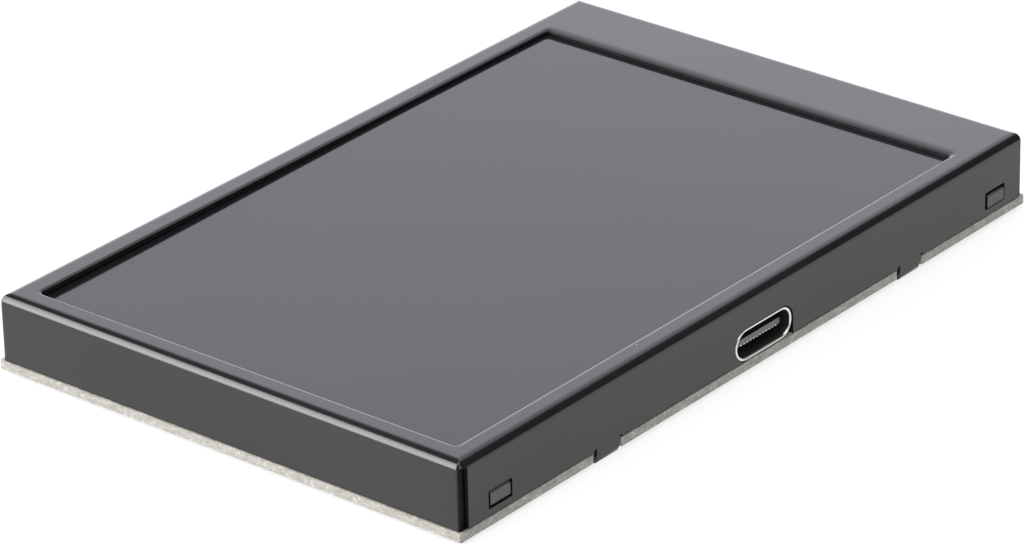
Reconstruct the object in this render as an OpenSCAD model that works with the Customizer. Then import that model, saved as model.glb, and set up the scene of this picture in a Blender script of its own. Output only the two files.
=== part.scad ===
// TFT display module: a pressed steel bezel over a liquid crystal panel and its
// backlight, closed at the back by a circuit board with a USB-C receptacle.
// Lengths are in millimetres. The display faces +Z, the receptacle faces +X and
// the wide border is at the +Y end. The origin is at the middle of the underside.

/* [Bezel] */
// Width of the bezel across its short side
bezel_w = 57.5; // [52:0.5:66]
// Length of the bezel along its long side
bezel_l = 89; // [84:0.5:110]
// Height of the bezel from the board to its front face
bezel_h = 7; // [7:0.1:11]
// Thickness of the steel sheet
sheet_t = 0.4; // [0.3:0.05:0.5]
// Outside radius of the folds between the face and the skirts
fold_r = 1; // [0.6:0.1:1.4]
// Radius of the face's corners, seen from the front
face_corner_r = 0.6; // [0.5:0.1:1.4]

/* [Window] */
// Border on the side away from the receptacle
border_left = 2.9; // [2.5:0.1:4]
// Border on the receptacle's side
border_right = 2.6; // [2.3:0.1:4]
// Border at the near end
border_near = 2.7; // [2.3:0.1:4]
// Border at the far end, over the glass ledge
border_far = 8.9; // [8.6:0.1:12]
// Radius of the window's corners
window_r = 0.5; // [0.3:0.1:1.5]

/* [Corner slits] */
// Gap between a short skirt's end and the bezel's corner
slit_short = 0.25; // [0.1:0.05:0.4]
// Gap between a long skirt's end and the bezel's corner
slit_long = 0.75; // [0.5:0.05:0.9]
// The same gap of the short skirt at the near right corner
open_slit_short = 0.35; // [0.1:0.05:0.8]
// The same gap of the long skirt at the near right corner
open_slit_long = 1.1; // [0.5:0.05:1.3]
// Drop from the front face to the top of a slit
slit_drop = 0.65; // [0.5:0.05:1]

/* [Latches] */
// Width of a latch window in the long skirts
latch_w = 3.4; // [2.5:0.1:5]
// Height of a latch window
latch_h = 1.9; // [1.4:0.1:2.4]
// Height of a latch window's middle above the board
latch_rise = 1.65; // [1.6:0.05:2.2]
// Distance of the near latches from the near end
latch_near = 5.65; // [4:0.05:9]
// Distance of the far latches from the far end
latch_far = 4.9; // [4:0.05:9]
// Gap round a lug in its latch window
lug_gap = 0.25; // [0.1:0.05:0.4]
// Depth of a lug's face below the skirt's outer face
lug_recess = 0.08; // [0.02:0.02:0.2]
// Lead-in chamfer at the top of a lug
lug_chamfer = 0.2; // [0.1:0.05:0.3]

/* [Tabs] */
// Width of a tab bent under the board
tab_w = 3.4; // [2:0.1:5]
// Spacing of the two tabs on each long side
tab_pitch = 48.1; // [30:0.1:60]
// Outside radius of a tab's bend
tab_bend_r = 0.5; // [0.5:0.05:0.7]
// Length of a tab's foot past its bend
tab_foot = 1.2; // [0.8:0.1:2]
// Width of the relief slots beside each tab
relief_w = 0.4; // [0.2:0.05:0.6]
// Height of the relief slots above the board
relief_h = 0.3; // [0.2:0.05:0.6]

/* [Board] */
// Thickness of the board
board_t = 1; // [0.8:0.1:1.6]
// Reach of the board past the bezel on the left side
board_over_left = 0.2; // [0:0.1:1]
// Reach of the board past the bezel on the receptacle's side
board_over_right = 0.1; // [0:0.1:0.3]
// Reach of the board past the bezel at each end
board_over_end = 0.2; // [0:0.1:1]
// Radius of the board's corners
board_r = 0.25; // [0.2:0.05:2]
// Gap between a tab and its notch in the board
notch_gap = 0.1; // [0.05:0.05:0.3]
// Extra width of a notch in front of its tab
notch_slack = 0.7; // [0.1:0.05:0.8]

/* [Display stack] */
// Thickness of the foam gasket under the bezel's face
gasket_t = 0.3; // [0.2:0.05:0.4]
// Setback of the gasket from the window's edge
gasket_setback = 0.2; // [0.1:0.05:0.3]
// Thickness of each polarizer
polarizer_t = 0.2; // [0.1:0.05:0.25]
// Thickness of each glass
glass_t = 0.5; // [0.3:0.05:0.55]
// Reach of the glass past the window
glass_margin = 1; // [0.8:0.05:1.1]
// Reach of the polarizers past the window
polarizer_margin = 0.7; // [0.5:0.05:0.75]
// Length of the array glass's bare ledge
ledge_l = 4.3; // [4.1:0.1:4.5]
// Thickness of the tape between backlight and glass
tape_t = 0.1; // [0.05:0.01:0.15]
// Thickness of each prism film
prism_t = 0.12; // [0.08:0.01:0.15]
// Thickness of the diffuser film
diffuser_t = 0.14; // [0.1:0.01:0.16]
// Thickness of the light guide
guide_t = 0.6; // [0.5:0.05:0.7]
// Reach of the light guide past the window
guide_margin = 0.5; // [0.4:0.05:0.6]
// Thickness of the reflector film
reflector_t = 0.12; // [0.1:0.01:0.15]
// Thickness of the backlight tray's sheet
tray_t = 0.25; // [0.2:0.01:0.3]

/* [Driver and flexes] */
// Length of the driver chip
driver_l = 20; // [14:0.5:24]
// Width of the driver chip
driver_w = 0.9; // [0.7:0.1:1.2]
// Height of the driver chip
driver_h = 0.3; // [0.2:0.05:0.4]
// Width of the display's flex
flex_w = 24; // [16:0.5:28]
// Thickness of both flexes
flex_t = 0.12; // [0.08:0.01:0.15]
// Outside radius of the flexes' bends
flex_r = 0.8; // [0.6:0.05:0.9]
// Length of the flexes on the board, past their bends
flex_tail = 5; // [4:0.5:8]
// Width of the backlight's flex tail
tail_w = 4; // [3:0.1:6]
// Distance of the backlight's tail from the middle, towards -X
tail_x = 18; // [17:0.5:21]
// Number of light-emitting diodes
led_count = 6; // [4:1:8]
// Length of each diode package
led_l = 3.8; // [3:0.1:4]
// Depth of each diode package
led_d = 1; // [0.8:0.1:1.2]

/* [Mid frame] */
// Gap between the moulded frame and the skirts
frame_gap = 0.15; // [0.1:0.01:0.2]
// Thickness of the frame's outer wall beside the board's parts
wall_t = 1; // [0.8:0.1:1.2]
// Gap round the pieces that drop into the frame
fit_gap = 0.1; // [0.05:0.01:0.15]
// Thickness of the ledge under the backlight tray
seat_t = 0.8; // [0.5:0.1:0.9]
// Width of the ledge under the backlight tray
seat_w = 1; // [0.6:0.1:1.5]
// Width of the bar between the backlight and the flex slot
bar_w = 1; // [0.8:0.1:1.1]

/* [USB-C receptacle] */
// Distance of the receptacle's middle from the near end
port_y = 45.5; // [38:0.1:52]
// Outer width of the shell
shell_w = 8.94; // [8.9:0.01:9]
// Outer height of the shell
shell_h = 3.4; // [3.1:0.05:3.5]
// Thickness of the shell's sheet
shell_t = 0.3; // [0.2:0.05:0.3]
// Length of the shell
shell_l = 7.35; // [7:0.05:8]
// Height of the shell's underside above the board
shell_lift = 0.05; // [0.05:0.05:0.2]
// Gap between the shell and the bezel's cut-out
port_gap = 0.25; // [0.15:0.05:0.4]
// Width of the tongue
tongue_w = 6.69; // [6.5:0.01:6.7]
// Thickness of the tongue
tongue_t = 0.7; // [0.6:0.05:0.7]
// Depth of the tongue's tip below the shell's mouth
tongue_recess = 0.65; // [0.5:0.05:0.8]
// Depth of the hollow in front of the moulded back
cavity_depth = 6.2; // [6:0.1:6.6]
// Spacing of the contacts
contact_pitch = 0.5; // [0.45:0.01:0.5]
// Width of a contact
contact_w = 0.25; // [0.2:0.01:0.3]
// Contacts on each face of the tongue
contact_count = 12; // [8:2:12]

/* [Board parts] */
// Side of the controller's body
controller_s = 7; // [6:0.5:9]
// Height of the controller's body above its standoff
controller_h = 1.4; // [1:0.1:1.6]
// Spacing of the controller's leads
controller_pitch = 0.5; // [0.4:0.05:0.8]
// Height of the boost inductor
inductor_h = 1.8; // [1.2:0.1:2.2]
// Side of the boost inductor
inductor_s = 4; // [3:0.1:5]
// Thickness of the pads on the board
pad_t = 0.05; // [0.03:0.01:0.06]

/* [Hidden] */
$fn = 48;

// Overcut that lets one solid cut cleanly through another
cut = 0.5;

// Colours
black_paint = "#2b2a2c";
black_plastic = "#3a3a3d";
black_foam = "#151516";
dark_glass = "#3f4043";
clear_glass = "#b9c6c9";
steel = "#c9cacb";
film_white = "#eceef0";
polyimide = "#b5651d";
board_black = "#1d2320";
chip_black = "#232325";
ceramic_tan = "#b79f7c";
gold = "#d4af55";
tin = "#d5d7d8";

// Heights, from the board up to the front face
board_z = sheet_t;
deck_z = board_z + board_t;
face_z = deck_z + bezel_h;
under_z = face_z - sheet_t;
least_inside_r = 0.2;
front_pol_z = under_z - gasket_t - polarizer_t;
filter_z = front_pol_z - glass_t;
array_z = filter_z - glass_t;
rear_pol_z = array_z - polarizer_t;
tape_z = rear_pol_z - tape_t;
upper_prism_z = tape_z - prism_t;
lower_prism_z = upper_prism_z - prism_t;
diffuser_z = lower_prism_z - diffuser_t;
guide_z = diffuser_z - guide_t;
reflector_z = guide_z - reflector_t;
tray_z = reflector_z - tray_t;
seat_z = tray_z - seat_t;

// An area is [low x, high x, low y, high y]
bezel_x = (board_over_left - board_over_right) / 2;
bezel_area = [bezel_x - bezel_w / 2, bezel_x + bezel_w / 2, -bezel_l / 2, bezel_l / 2];
board_area = [bezel_area[0] - board_over_left, bezel_area[1] + board_over_right,
    bezel_area[2] - board_over_end, bezel_area[3] + board_over_end];
window_area = [bezel_area[0] + border_left, bezel_area[1] - border_right,
    bezel_area[2] + border_near, bezel_area[3] - border_far];
frame_area = grow(bezel_area, -sheet_t - frame_gap);

// How far each layer runs past the window at the far end
guide_far = 0.8;
led_gap = 0.1;
led_zone = 2.5;
strip_l = 2.4;

guide_area = reach(guide_margin, guide_far);
filter_area = reach(glass_margin, glass_margin);
array_area = reach(glass_margin, glass_margin + ledge_l);
tray_inside = reach(guide_margin + fit_gap, guide_far + led_zone);
tray_outside = grow(tray_inside, tray_t);
tray_pocket = grow(tray_outside, fit_gap);
pocket_gap = 0.15;
glass_pocket = reach(glass_margin + pocket_gap, glass_margin + pocket_gap);
array_pocket = reach(glass_margin + pocket_gap, glass_margin + ledge_l + pocket_gap);
tape_margin = glass_margin + fit_gap;
tape_inset = 0.25;
frame_corner_r = 0.8;

// Flex slot, between the bar and the frame's far wall
slot_y0 = tray_pocket[3] + bar_w;
slot_y1 = frame_area[3] - wall_t;
slot_side = 0.8;
flex_bond = 1.7;
flex_clear = 0.3;
flex_bend_y = array_area[3] + flex_clear;
tail_bend_y = slot_y0 + flex_clear;
driver_offset = 0.5;

// Tabs, latches and receptacle
port_mid_y = bezel_area[2] + port_y;
tab_ys = [port_mid_y - tab_pitch / 2, port_mid_y + tab_pitch / 2];
latch_ys = [bezel_area[2] + latch_near, bezel_area[3] - latch_far];
// Share of their gap by which the lugs sit towards the far end
near_lug_share = 0.4;
far_lug_share = 0.9;
port_face_x = bezel_area[1];
port_z = deck_z + shell_lift;
port_mid_z = port_z + shell_h / 2;
port_back_x = port_face_x - shell_l;

// Legs of the receptacle's shell
leg_l = 1.1;
leg_t = 0.3;
leg_drop = 0.15;
leg_setback = 2.2;
leg_spacing = 4;
leg_xs = [port_face_x - leg_setback, port_face_x - leg_setback - leg_spacing];
leg_gap = 0.15;
leg_ring = 0.35;

function grow(area, margin) =
    [area[0] - margin, area[1] + margin, area[2] - margin, area[3] + margin];

// The window's area grown by a margin, with its own reach at the far end
function reach(margin, far) =
    [window_area[0] - margin, window_area[1] + margin, window_area[2] - margin, window_area[3] + far];

// Outline of an area with round corners
module outline(area, r) {
    translate([area[0] + r, area[2]])
        square([area[1] - area[0] - 2 * r, area[3] - area[2]]);
    translate([area[0], area[2] + r])
        square([area[1] - area[0], area[3] - area[2] - 2 * r]);
    for (x = [area[0] + r, area[1] - r], y = [area[2] + r, area[3] - r])
        translate([x, y])
            circle(r);
}

// Flat plate over an area, from z0 up to z1
module plate(area, z0, z1, r = 0) {
    translate([0, 0, z0])
        linear_extrude(z1 - z0)
            if (r > 0)
                outline(area, r);
            else
                translate([area[0], area[2]])
                    square([area[1] - area[0], area[3] - area[2]]);
}

// Plate over an area with a hole over another
module ring(area, hole, z0, z1, r = 0, hole_r = 0) {
    difference() {
        plate(area, z0, z1, r);
        plate(hole, z0 - cut, z1 + cut, hole_r);
    }
}

// Block between two corners
module block(low, high) {
    translate(low)
        cube(high - low);
}

// Upright section, low to high across and z0 to z1 up, with round upper corners
module arch(low, high, z0, z1, r) {
    translate([low, z0])
        square([high - low, z1 - z0 - r]);
    translate([low + r, z0])
        square([high - low - 2 * r, z1 - z0]);
    for (x = [low + r, high - r])
        translate([x, z1 - r])
            circle(r);
}

// Block with its four upper edges and its upright edges rounded, as folding leaves it
module folded_block(area, z0, z1, r, corner_r) {
    intersection() {
        plate(area, z0, z1, corner_r);
        translate([0, area[3], 0])
            rotate([90, 0, 0])
                linear_extrude(area[3] - area[2])
                    arch(area[0], area[1], z0, z1, r);
        translate([area[0], 0, 0])
            rotate([90, 0, 90])
                linear_extrude(area[1] - area[0])
                    arch(area[2], area[3], z0, z1, r);
    }
}

// Stadium standing on its long side, in the plane that faces +X
module stadium_x(w, h, mid_y, mid_z, x0, x1) {
    translate([x0, mid_y, mid_z])
        rotate([90, 0, 90])
            linear_extrude(x1 - x0) {
                square([w - h, h], center = true);
                for (side = [-1, 1])
                    translate([side * (w - h) / 2, 0])
                        circle(h / 2);
            }
}

// ---- Bezel ----

// Cut at a corner of the bezel, between reaches measured inwards from that corner
module corner_cut(x_side, y_side, x_reach, y_reach) {
    xs = [for (r = x_reach) bezel_area[x_side] + (x_side == 0 ? r : -r)];
    ys = [for (r = y_reach) bezel_area[2 + y_side] + (y_side == 0 ? r : -r)];
    block([min(xs), min(ys), deck_z - cut], [max(xs), max(ys), face_z - slit_drop]);
}

// Cuts that open the corners where the skirts don't meet, and free their inner faces too
module corner_slits() {
    for (x_side = [0, 1], y_side = [0, 1]) {
        is_open = x_side == 1 && y_side == 0;
        short_gap = is_open ? open_slit_short : slit_short;
        long_gap = is_open ? open_slit_long : slit_long;
        corner_cut(x_side, y_side, [-cut, short_gap], [-cut, long_gap]);
        corner_cut(x_side, y_side, [-cut, 2 * face_corner_r], [sheet_t, long_gap]);
    }
}

module latch_windows() {
    for (x = [bezel_area[0], bezel_area[1]], y = latch_ys)
        block([x - 2 * sheet_t, y - latch_w / 2, deck_z + latch_rise - latch_h / 2],
              [x + 2 * sheet_t, y + latch_w / 2, deck_z + latch_rise + latch_h / 2]);
}

// Slots with round tops that free a tab's sides from the skirt
module tab_reliefs() {
    for (x = [bezel_area[0], bezel_area[1]], y = tab_ys, side = [-1, 1]) {
        slot_y = y + side * (tab_w + relief_w) / 2;
        block([x - 2 * sheet_t, slot_y - relief_w / 2, deck_z - cut],
              [x + 2 * sheet_t, slot_y + relief_w / 2, deck_z + relief_h - relief_w / 2]);
        translate([x - 2 * sheet_t, slot_y, deck_z + relief_h - relief_w / 2])
            rotate([0, 90, 0])
                cylinder(h = 4 * sheet_t, r = relief_w / 2);
    }
}

// Opening round the receptacle, open down to the board
module port_cutout(x0, x1, gap) {
    stadium_x(shell_w + 2 * gap, shell_h + 2 * gap, port_mid_y, port_mid_z, x0, x1);
    block([x0, port_mid_y - shell_w / 2 - gap, deck_z - cut],
          [x1, port_mid_y + shell_w / 2 + gap, port_mid_z]);
}

// One tab with its outer face in the plane x = 0, bent towards -X
module tab() {
    block([-sheet_t, -tab_w / 2, tab_bend_r], [0, tab_w / 2, deck_z + relief_h]);
    block([-tab_bend_r - tab_foot, -tab_w / 2, 0], [-tab_bend_r, tab_w / 2, sheet_t]);
    translate([-tab_bend_r, tab_w / 2, tab_bend_r])
        rotate([90, 0, 0])
            intersection() {
                difference() {
                    cylinder(h = tab_w, r = tab_bend_r);
                    if (tab_bend_r > sheet_t)
                        translate([0, 0, -cut])
                            cylinder(h = tab_w + 2 * cut, r = tab_bend_r - sheet_t);
                }
                translate([0, -tab_bend_r, 0])
                    cube([tab_bend_r, tab_bend_r, tab_w]);
            }
}

module bezel() {
    color(black_paint) {
        difference() {
            folded_block(bezel_area, deck_z, face_z, fold_r, face_corner_r);
            folded_block(grow(bezel_area, -sheet_t), deck_z - cut, under_z,
                fold_r - sheet_t, max(face_corner_r - sheet_t, least_inside_r));
            plate(window_area, under_z - cut, face_z + cut, window_r);
            corner_slits();
            latch_windows();
            tab_reliefs();
            port_cutout(port_face_x - 2 * sheet_t, port_face_x + cut, port_gap);
        }
        for (y = tab_ys) {
            translate([bezel_area[1], y, 0])
                tab();
            translate([bezel_area[0], y, 0])
                mirror([1, 0, 0])
                    tab();
        }
    }
}

// ---- Liquid crystal panel ----

module gasket() {
    color(black_foam)
        ring(reach(polarizer_margin, polarizer_margin), grow(window_area, gasket_setback),
            front_pol_z + polarizer_t, under_z, 0, window_r + gasket_setback);
}

module front_polarizer() {
    color(dark_glass)
        plate(reach(polarizer_margin, polarizer_margin), front_pol_z, front_pol_z + polarizer_t);
}

module colour_filter_glass() {
    color(clear_glass)
        plate(filter_area, filter_z, front_pol_z);
}

module array_glass() {
    color(clear_glass)
        plate(array_area, array_z, filter_z);
}

module rear_polarizer() {
    color(dark_glass)
        plate(reach(polarizer_margin, polarizer_margin), rear_pol_z, array_z);
}

// Bare silicon bonded face down on the array glass's ledge
module driver_chip() {
    y0 = filter_area[3] + driver_offset;
    color(chip_black)
        block([bezel_x - driver_l / 2, y0, filter_z],
              [bezel_x + driver_l / 2, y0 + driver_w, filter_z + driver_h]);
}

// Quarter of a flex's bend about an axis along X: the upper quarter or the lower one
module flex_bend(w, up) {
    rotate([90, 0, 90])
        translate([0, 0, -w / 2])
            intersection() {
                difference() {
                    cylinder(h = w, r = flex_r);
                    translate([0, 0, -cut])
                        cylinder(h = w + 2 * cut, r = flex_r - flex_t);
                }
                translate([0, up ? 0 : -flex_r, 0])
                    cube([flex_r, flex_r, w]);
            }
}

// Flex that leaves y0 at height top_z, folds down at bend_y and ends on the board's pads
module folded_flex(mid_x, w, y0, bend_y, top_z) {
    low_z = deck_z + pad_t;
    x0 = mid_x - w / 2;
    x1 = mid_x + w / 2;
    block([x0, y0, top_z], [x1, bend_y, top_z + flex_t]);
    translate([mid_x, bend_y, top_z + flex_t - flex_r])
        flex_bend(w, true);
    block([x0, bend_y + flex_r - flex_t, low_z + flex_r],
          [x1, bend_y + flex_r, top_z + flex_t - flex_r]);
    translate([mid_x, bend_y, low_z + flex_r])
        flex_bend(w, false);
    block([x0, bend_y - flex_tail, low_z], [x1, bend_y, low_z + flex_t]);
}

module display_flex() {
    color(polyimide)
        folded_flex(bezel_x, flex_w, array_area[3] - flex_bond, flex_bend_y, filter_z);
}

module rim_tape() {
    color(black_foam)
        ring(reach(tape_margin, tape_margin), grow(window_area, tape_inset), tape_z, rear_pol_z);
}

// ---- Backlight ----

module upper_prism_film() {
    color(film_white)
        plate(guide_area, upper_prism_z, tape_z);
}

module lower_prism_film() {
    color(film_white)
        plate(guide_area, lower_prism_z, upper_prism_z);
}

module diffuser_film() {
    color(film_white)
        plate(guide_area, diffuser_z, lower_prism_z);
}

module light_guide() {
    color(clear_glass)
        plate(guide_area, guide_z, diffuser_z);
}

module reflector_film() {
    color(film_white)
        plate(guide_area, reflector_z, guide_z);
}

// Flex under the diodes, with the tail that folds down to the board
module led_strip() {
    y0 = guide_area[3];
    color(polyimide) {
        block([guide_area[0], y0, guide_z - flex_t], [guide_area[1], y0 + strip_l, guide_z]);
        folded_flex(bezel_x - tail_x, tail_w, y0 + strip_l, tail_bend_y, guide_z - flex_t);
    }
}

module backlight_leds() {
    span = guide_area[1] - guide_area[0];
    y0 = guide_area[3] + led_gap;
    color("ivory")
        for (i = [0 : led_count - 1]) {
            x = guide_area[0] + span * (i + 0.5) / led_count;
            block([x - led_l / 2, y0, guide_z], [x + led_l / 2, y0 + led_d, diffuser_z]);
        }
}

module backlight_tray() {
    tail_mid = bezel_x - tail_x;
    tail_half = tail_w / 2 + 2 * fit_gap;
    color(steel)
        difference() {
            plate(tray_outside, tray_z, diffuser_z);
            plate(tray_inside, reflector_z, diffuser_z + cut);
            block([tail_mid - tail_half, tray_inside[3] - cut, reflector_z],
                  [tail_mid + tail_half, tray_outside[3] + cut, diffuser_z + cut]);
        }
}

// ---- Mid frame ----

// Snap lug that fills a latch window, pointing to +X from the plane x = 0
module lug() {
    half_h = latch_h / 2 - lug_gap;
    reach_x = frame_gap + sheet_t - lug_recess;
    translate([0, latch_w / 2 - lug_gap, latch_rise])
        rotate([90, 0, 0])
            linear_extrude(latch_w - 2 * lug_gap)
                polygon([[0, -half_h], [reach_x, -half_h], [reach_x, half_h - lug_chamfer],
                    [reach_x - lug_chamfer, half_h], [0, half_h]]);
}

// Room for both flexes to fold down behind the bar
module flex_slots() {
    tail_mid = bezel_x - tail_x;
    block([bezel_x - flex_w / 2 - slot_side, slot_y0, seat_z - cut],
          [bezel_x + flex_w / 2 + slot_side, slot_y1, front_pol_z + cut]);
    block([tail_mid - tail_w / 2 - slot_side, slot_y0, seat_z - cut],
          [tail_mid + tail_w / 2 + slot_side, slot_y1, array_z]);
    block([tail_mid - tail_w / 2 - 2 * fit_gap, tray_pocket[3] - cut, reflector_z - fit_gap],
          [tail_mid + tail_w / 2 + 2 * fit_gap, slot_y0 + cut, array_z]);
}

module mid_frame() {
    color(black_plastic) {
        difference() {
            plate(frame_area, deck_z, front_pol_z, frame_corner_r);
            plate(glass_pocket, tape_z, front_pol_z + cut);
            plate(array_pocket, array_z, front_pol_z + cut);
            plate(tray_pocket, tray_z, array_z);
            plate(grow(tray_pocket, -seat_w), seat_z - cut, array_z);
            plate(grow(frame_area, -wall_t), deck_z - cut, seat_z);
            flex_slots();
            port_cutout(port_back_x, port_face_x, port_gap);
        }
        for (y = [latch_ys[0] + near_lug_share * lug_gap, latch_ys[1] + far_lug_share * lug_gap]) {
            translate([frame_area[1], y, deck_z])
                lug();
            translate([frame_area[0], y, deck_z])
                mirror([1, 0, 0])
                    lug();
        }
    }
}

// ---- Board ----

module tab_notches() {
    depth = sheet_t + notch_gap;
    for (y = tab_ys) {
        y0 = y - tab_w / 2 - notch_slack;
        y1 = y + tab_w / 2 + notch_gap;
        block([bezel_area[1] - depth, y0, board_z - cut], [board_area[1] + cut, y1, deck_z + cut]);
        block([board_area[0] - cut, y0, board_z - cut], [bezel_area[0] + depth, y1, deck_z + cut]);
    }
}

// Round-ended bar along X, for leg slots and the rings round them
module leg_bar(margin, z0, z1) {
    w = leg_t + 2 * margin;
    l = leg_l + 2 * margin;
    for (x = leg_xs, side = [-1, 1])
        translate([x, port_mid_y + side * (shell_w - leg_t) / 2, z0])
            linear_extrude(z1 - z0) {
                square([l - w, w], center = true);
                for (end = [-1, 1])
                    translate([end * (l - w) / 2, 0])
                        circle(w / 2);
            }
}

module main_board() {
    color(board_black)
        difference() {
            plate(board_area, board_z, deck_z, board_r);
            tab_notches();
            leg_bar(leg_gap, board_z - cut, deck_z + cut);
        }
}

module usb_shell() {
    inner_w = shell_w - 2 * shell_t;
    inner_h = shell_h - 2 * shell_t;
    color(steel) {
        difference() {
            stadium_x(shell_w, shell_h, port_mid_y, port_mid_z, port_back_x, port_face_x);
            stadium_x(inner_w, inner_h, port_mid_y, port_mid_z, port_back_x - cut, port_face_x + cut);
        }
        for (x = leg_xs, side = [-1, 1]) {
            y = port_mid_y + side * (shell_w - leg_t) / 2;
            block([x - leg_l / 2, y - leg_t / 2, board_z - leg_drop],
                  [x + leg_l / 2, y + leg_t / 2, port_mid_z]);
        }
    }
}

// Moulding that fills the shell's back and carries the tongue
module usb_insulator() {
    inner_w = shell_w - 2 * shell_t;
    inner_h = shell_h - 2 * shell_t;
    tongue_x = port_face_x - tongue_recess;
    back_x = port_face_x - cavity_depth;
    color(chip_black)
        difference() {
            union() {
                stadium_x(inner_w, inner_h, port_mid_y, port_mid_z, port_back_x, back_x);
                block([back_x - shell_t, port_mid_y - tongue_w / 2, port_mid_z - tongue_t / 2],
                      [tongue_x, port_mid_y + tongue_w / 2, port_mid_z + tongue_t / 2]);
            }
            contact_bars();
            contact_tails();
        }
}

contact_t = 0.1;
contact_setback = 0.3;
tail_reach = 0.9;

function contact_y(i) = port_mid_y + (i - (contact_count - 1) / 2) * contact_pitch;

// Contact strips let into both faces of the tongue
module contact_bars() {
    x0 = port_back_x + 2 * shell_t;
    x1 = port_face_x - tongue_recess - contact_setback;
    for (i = [0 : contact_count - 1]) {
        y0 = contact_y(i) - contact_w / 2;
        y1 = contact_y(i) + contact_w / 2;
        block([x0, y0, port_mid_z + tongue_t / 2 - contact_t], [x1, y1, port_mid_z + tongue_t / 2]);
        block([x0, y0, port_mid_z - tongue_t / 2], [x1, y1, port_mid_z - tongue_t / 2 + contact_t]);
    }
}

// Tails that drop behind the shell and lie on the board
module contact_tails() {
    x0 = port_back_x - 2 * contact_t;
    for (i = [0 : contact_count - 1]) {
        y0 = contact_y(i) - contact_w / 2;
        y1 = contact_y(i) + contact_w / 2;
        block([x0, y0, port_mid_z - contact_t / 2],
              [port_back_x + 2 * shell_t, y1, port_mid_z + contact_t / 2]);
        block([x0, y0, deck_z], [x0 + contact_t, y1, port_mid_z + contact_t / 2]);
        block([x0 - tail_reach, y0, deck_z], [x0 + contact_t, y1, deck_z + contact_t]);
    }
    for (i = [0 : contact_count - 1])
        block([port_back_x + 2 * shell_t - contact_t, contact_y(i) - contact_w / 2,
                  port_mid_z - tongue_t / 2],
              [port_back_x + 2 * shell_t, contact_y(i) + contact_w / 2, port_mid_z + tongue_t / 2]);
}

module usb_contacts() {
    color(gold) {
        contact_bars();
        contact_tails();
    }
}

// ---- Chips and passive parts on the board ----

// Places on the board, from the receptacle's back and middle and the board's right edge
controller_setback = 14;
crystal_setback = 6;
esd_setback = 5.6;
supply_setback = 11.5;
crystal_drop = 9;
esd_rise = 2;
fuse_rise = 8;
controller_at = [port_back_x - controller_setback, port_mid_y];
crystal_at = [port_back_x - crystal_setback, port_mid_y - crystal_drop];
esd_at = [port_back_x - esd_setback, port_mid_y + esd_rise];
fuse_at = [board_area[1] - supply_setback, port_mid_y + fuse_rise];

// Steps from one part to the next
flash_step = [0, -13];
regulator_step = [0, 5];
boost_step = [-17, 22];
inductor_step = [-6, 0];
diode_step = [0, -7];
bulk_steps = [[0, 6], [8, 0], [6, 5]];
flash_at = controller_at + flash_step;
regulator_at = fuse_at + regulator_step;
boost_at = controller_at + boost_step;
inductor_at = boost_at + inductor_step;
diode_at = inductor_at + diode_step;
bulk_at = [
    regulator_at + bulk_steps[0],
    diode_at + bulk_steps[1],
    boost_at + bulk_steps[2]];

// Gap under a chip's body, and its leads' own sizes
standoff = 0.1;
lead_t = 0.15;
lead_foot = 0.6;
lead_run = 0.4;

// Body sizes: length, width, height
controller_size = [controller_s, controller_s, controller_h];
flash_size = [5.2, 5.2, 1.8];
small_chip_size = [2.9, 1.6, 1.1];
regulator_size = [6.5, 3.5, 1.6];
diode_size = [4.3, 2.6, 2];
crystal_size = [3.2, 2.5, 0.7];
fuse_size = [3.2, 1.6, 0.7];
bulk_size = [3.2, 2.5, 1.6];
small_part_size = [1.6, 0.8, 0.5];

// Lead patterns: count on a side, spacing, width
controller_lead_w = 0.22;
corner_clear = 0.85;
flash_leads = [4, 1.27, 0.4];
small_chip_leads = [3, 0.95, 0.4];
regulator_leads = [3, 2.3, 0.7];
regulator_tab = [1, 1, 3];
diode_leads = [1, 1, 1.5];

// Block of a given size standing on the board with a gap under it
module chip(at, size, gap = standoff) {
    translate([at[0] - size[0] / 2, at[1] - size[1] / 2, deck_z + gap])
        cube(size);
}

// Row of bent leads on one side of a body, which reaches to the plane x = 0
module lead_row(count, pitch, w, body_h) {
    mid_z = standoff + body_h / 2;
    for (i = [0 : count - 1]) {
        y = (i - (count - 1) / 2) * pitch;
        block([0, y - w / 2, mid_z - lead_t / 2], [lead_run, y + w / 2, mid_z + lead_t / 2]);
        block([lead_run - lead_t, y - w / 2, 0], [lead_run, y + w / 2, mid_z + lead_t / 2]);
        block([lead_run - lead_t, y - w / 2, 0], [lead_run + lead_foot - lead_t, y + w / 2, lead_t]);
    }
}

// Lead rows on the sides of a body: angles are the directions that the rows face
module leads(at, size, angles, pattern) {
    for (a = angles)
        translate([at[0], at[1], deck_z])
            rotate([0, 0, a])
                translate([(a % 180 == 0 ? size[0] : size[1]) / 2, 0, 0])
                    lead_row(pattern[0], pattern[1], pattern[2], size[2]);
}

module controller_chip() {
    color(chip_black)
        chip(controller_at, controller_size);
}

module flash_chip() {
    color(chip_black)
        chip(flash_at, flash_size);
}

module esd_chip() {
    color(chip_black)
        chip(esd_at, small_chip_size);
}

module backlight_driver_chip() {
    color(chip_black)
        chip(boost_at, small_chip_size);
}

module voltage_regulator() {
    color(chip_black)
        chip(regulator_at, regulator_size);
}

module chip_leads() {
    side_leads = floor(controller_s * corner_clear / controller_pitch);
    color(tin) {
        leads(controller_at, controller_size, [0, 90, 180, 270],
            [side_leads, controller_pitch, controller_lead_w]);
        leads(flash_at, flash_size, [0, 180], flash_leads);
        leads(esd_at, small_chip_size, [90, 270], small_chip_leads);
        leads(boost_at, small_chip_size, [90, 270], small_chip_leads);
        leads(regulator_at, regulator_size, [270], regulator_leads);
        leads(regulator_at, regulator_size, [90], regulator_tab);
        leads(diode_at, diode_size, [0, 180], diode_leads);
    }
}

module crystal() {
    color(steel)
        chip(crystal_at, crystal_size, 0);
}

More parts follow.
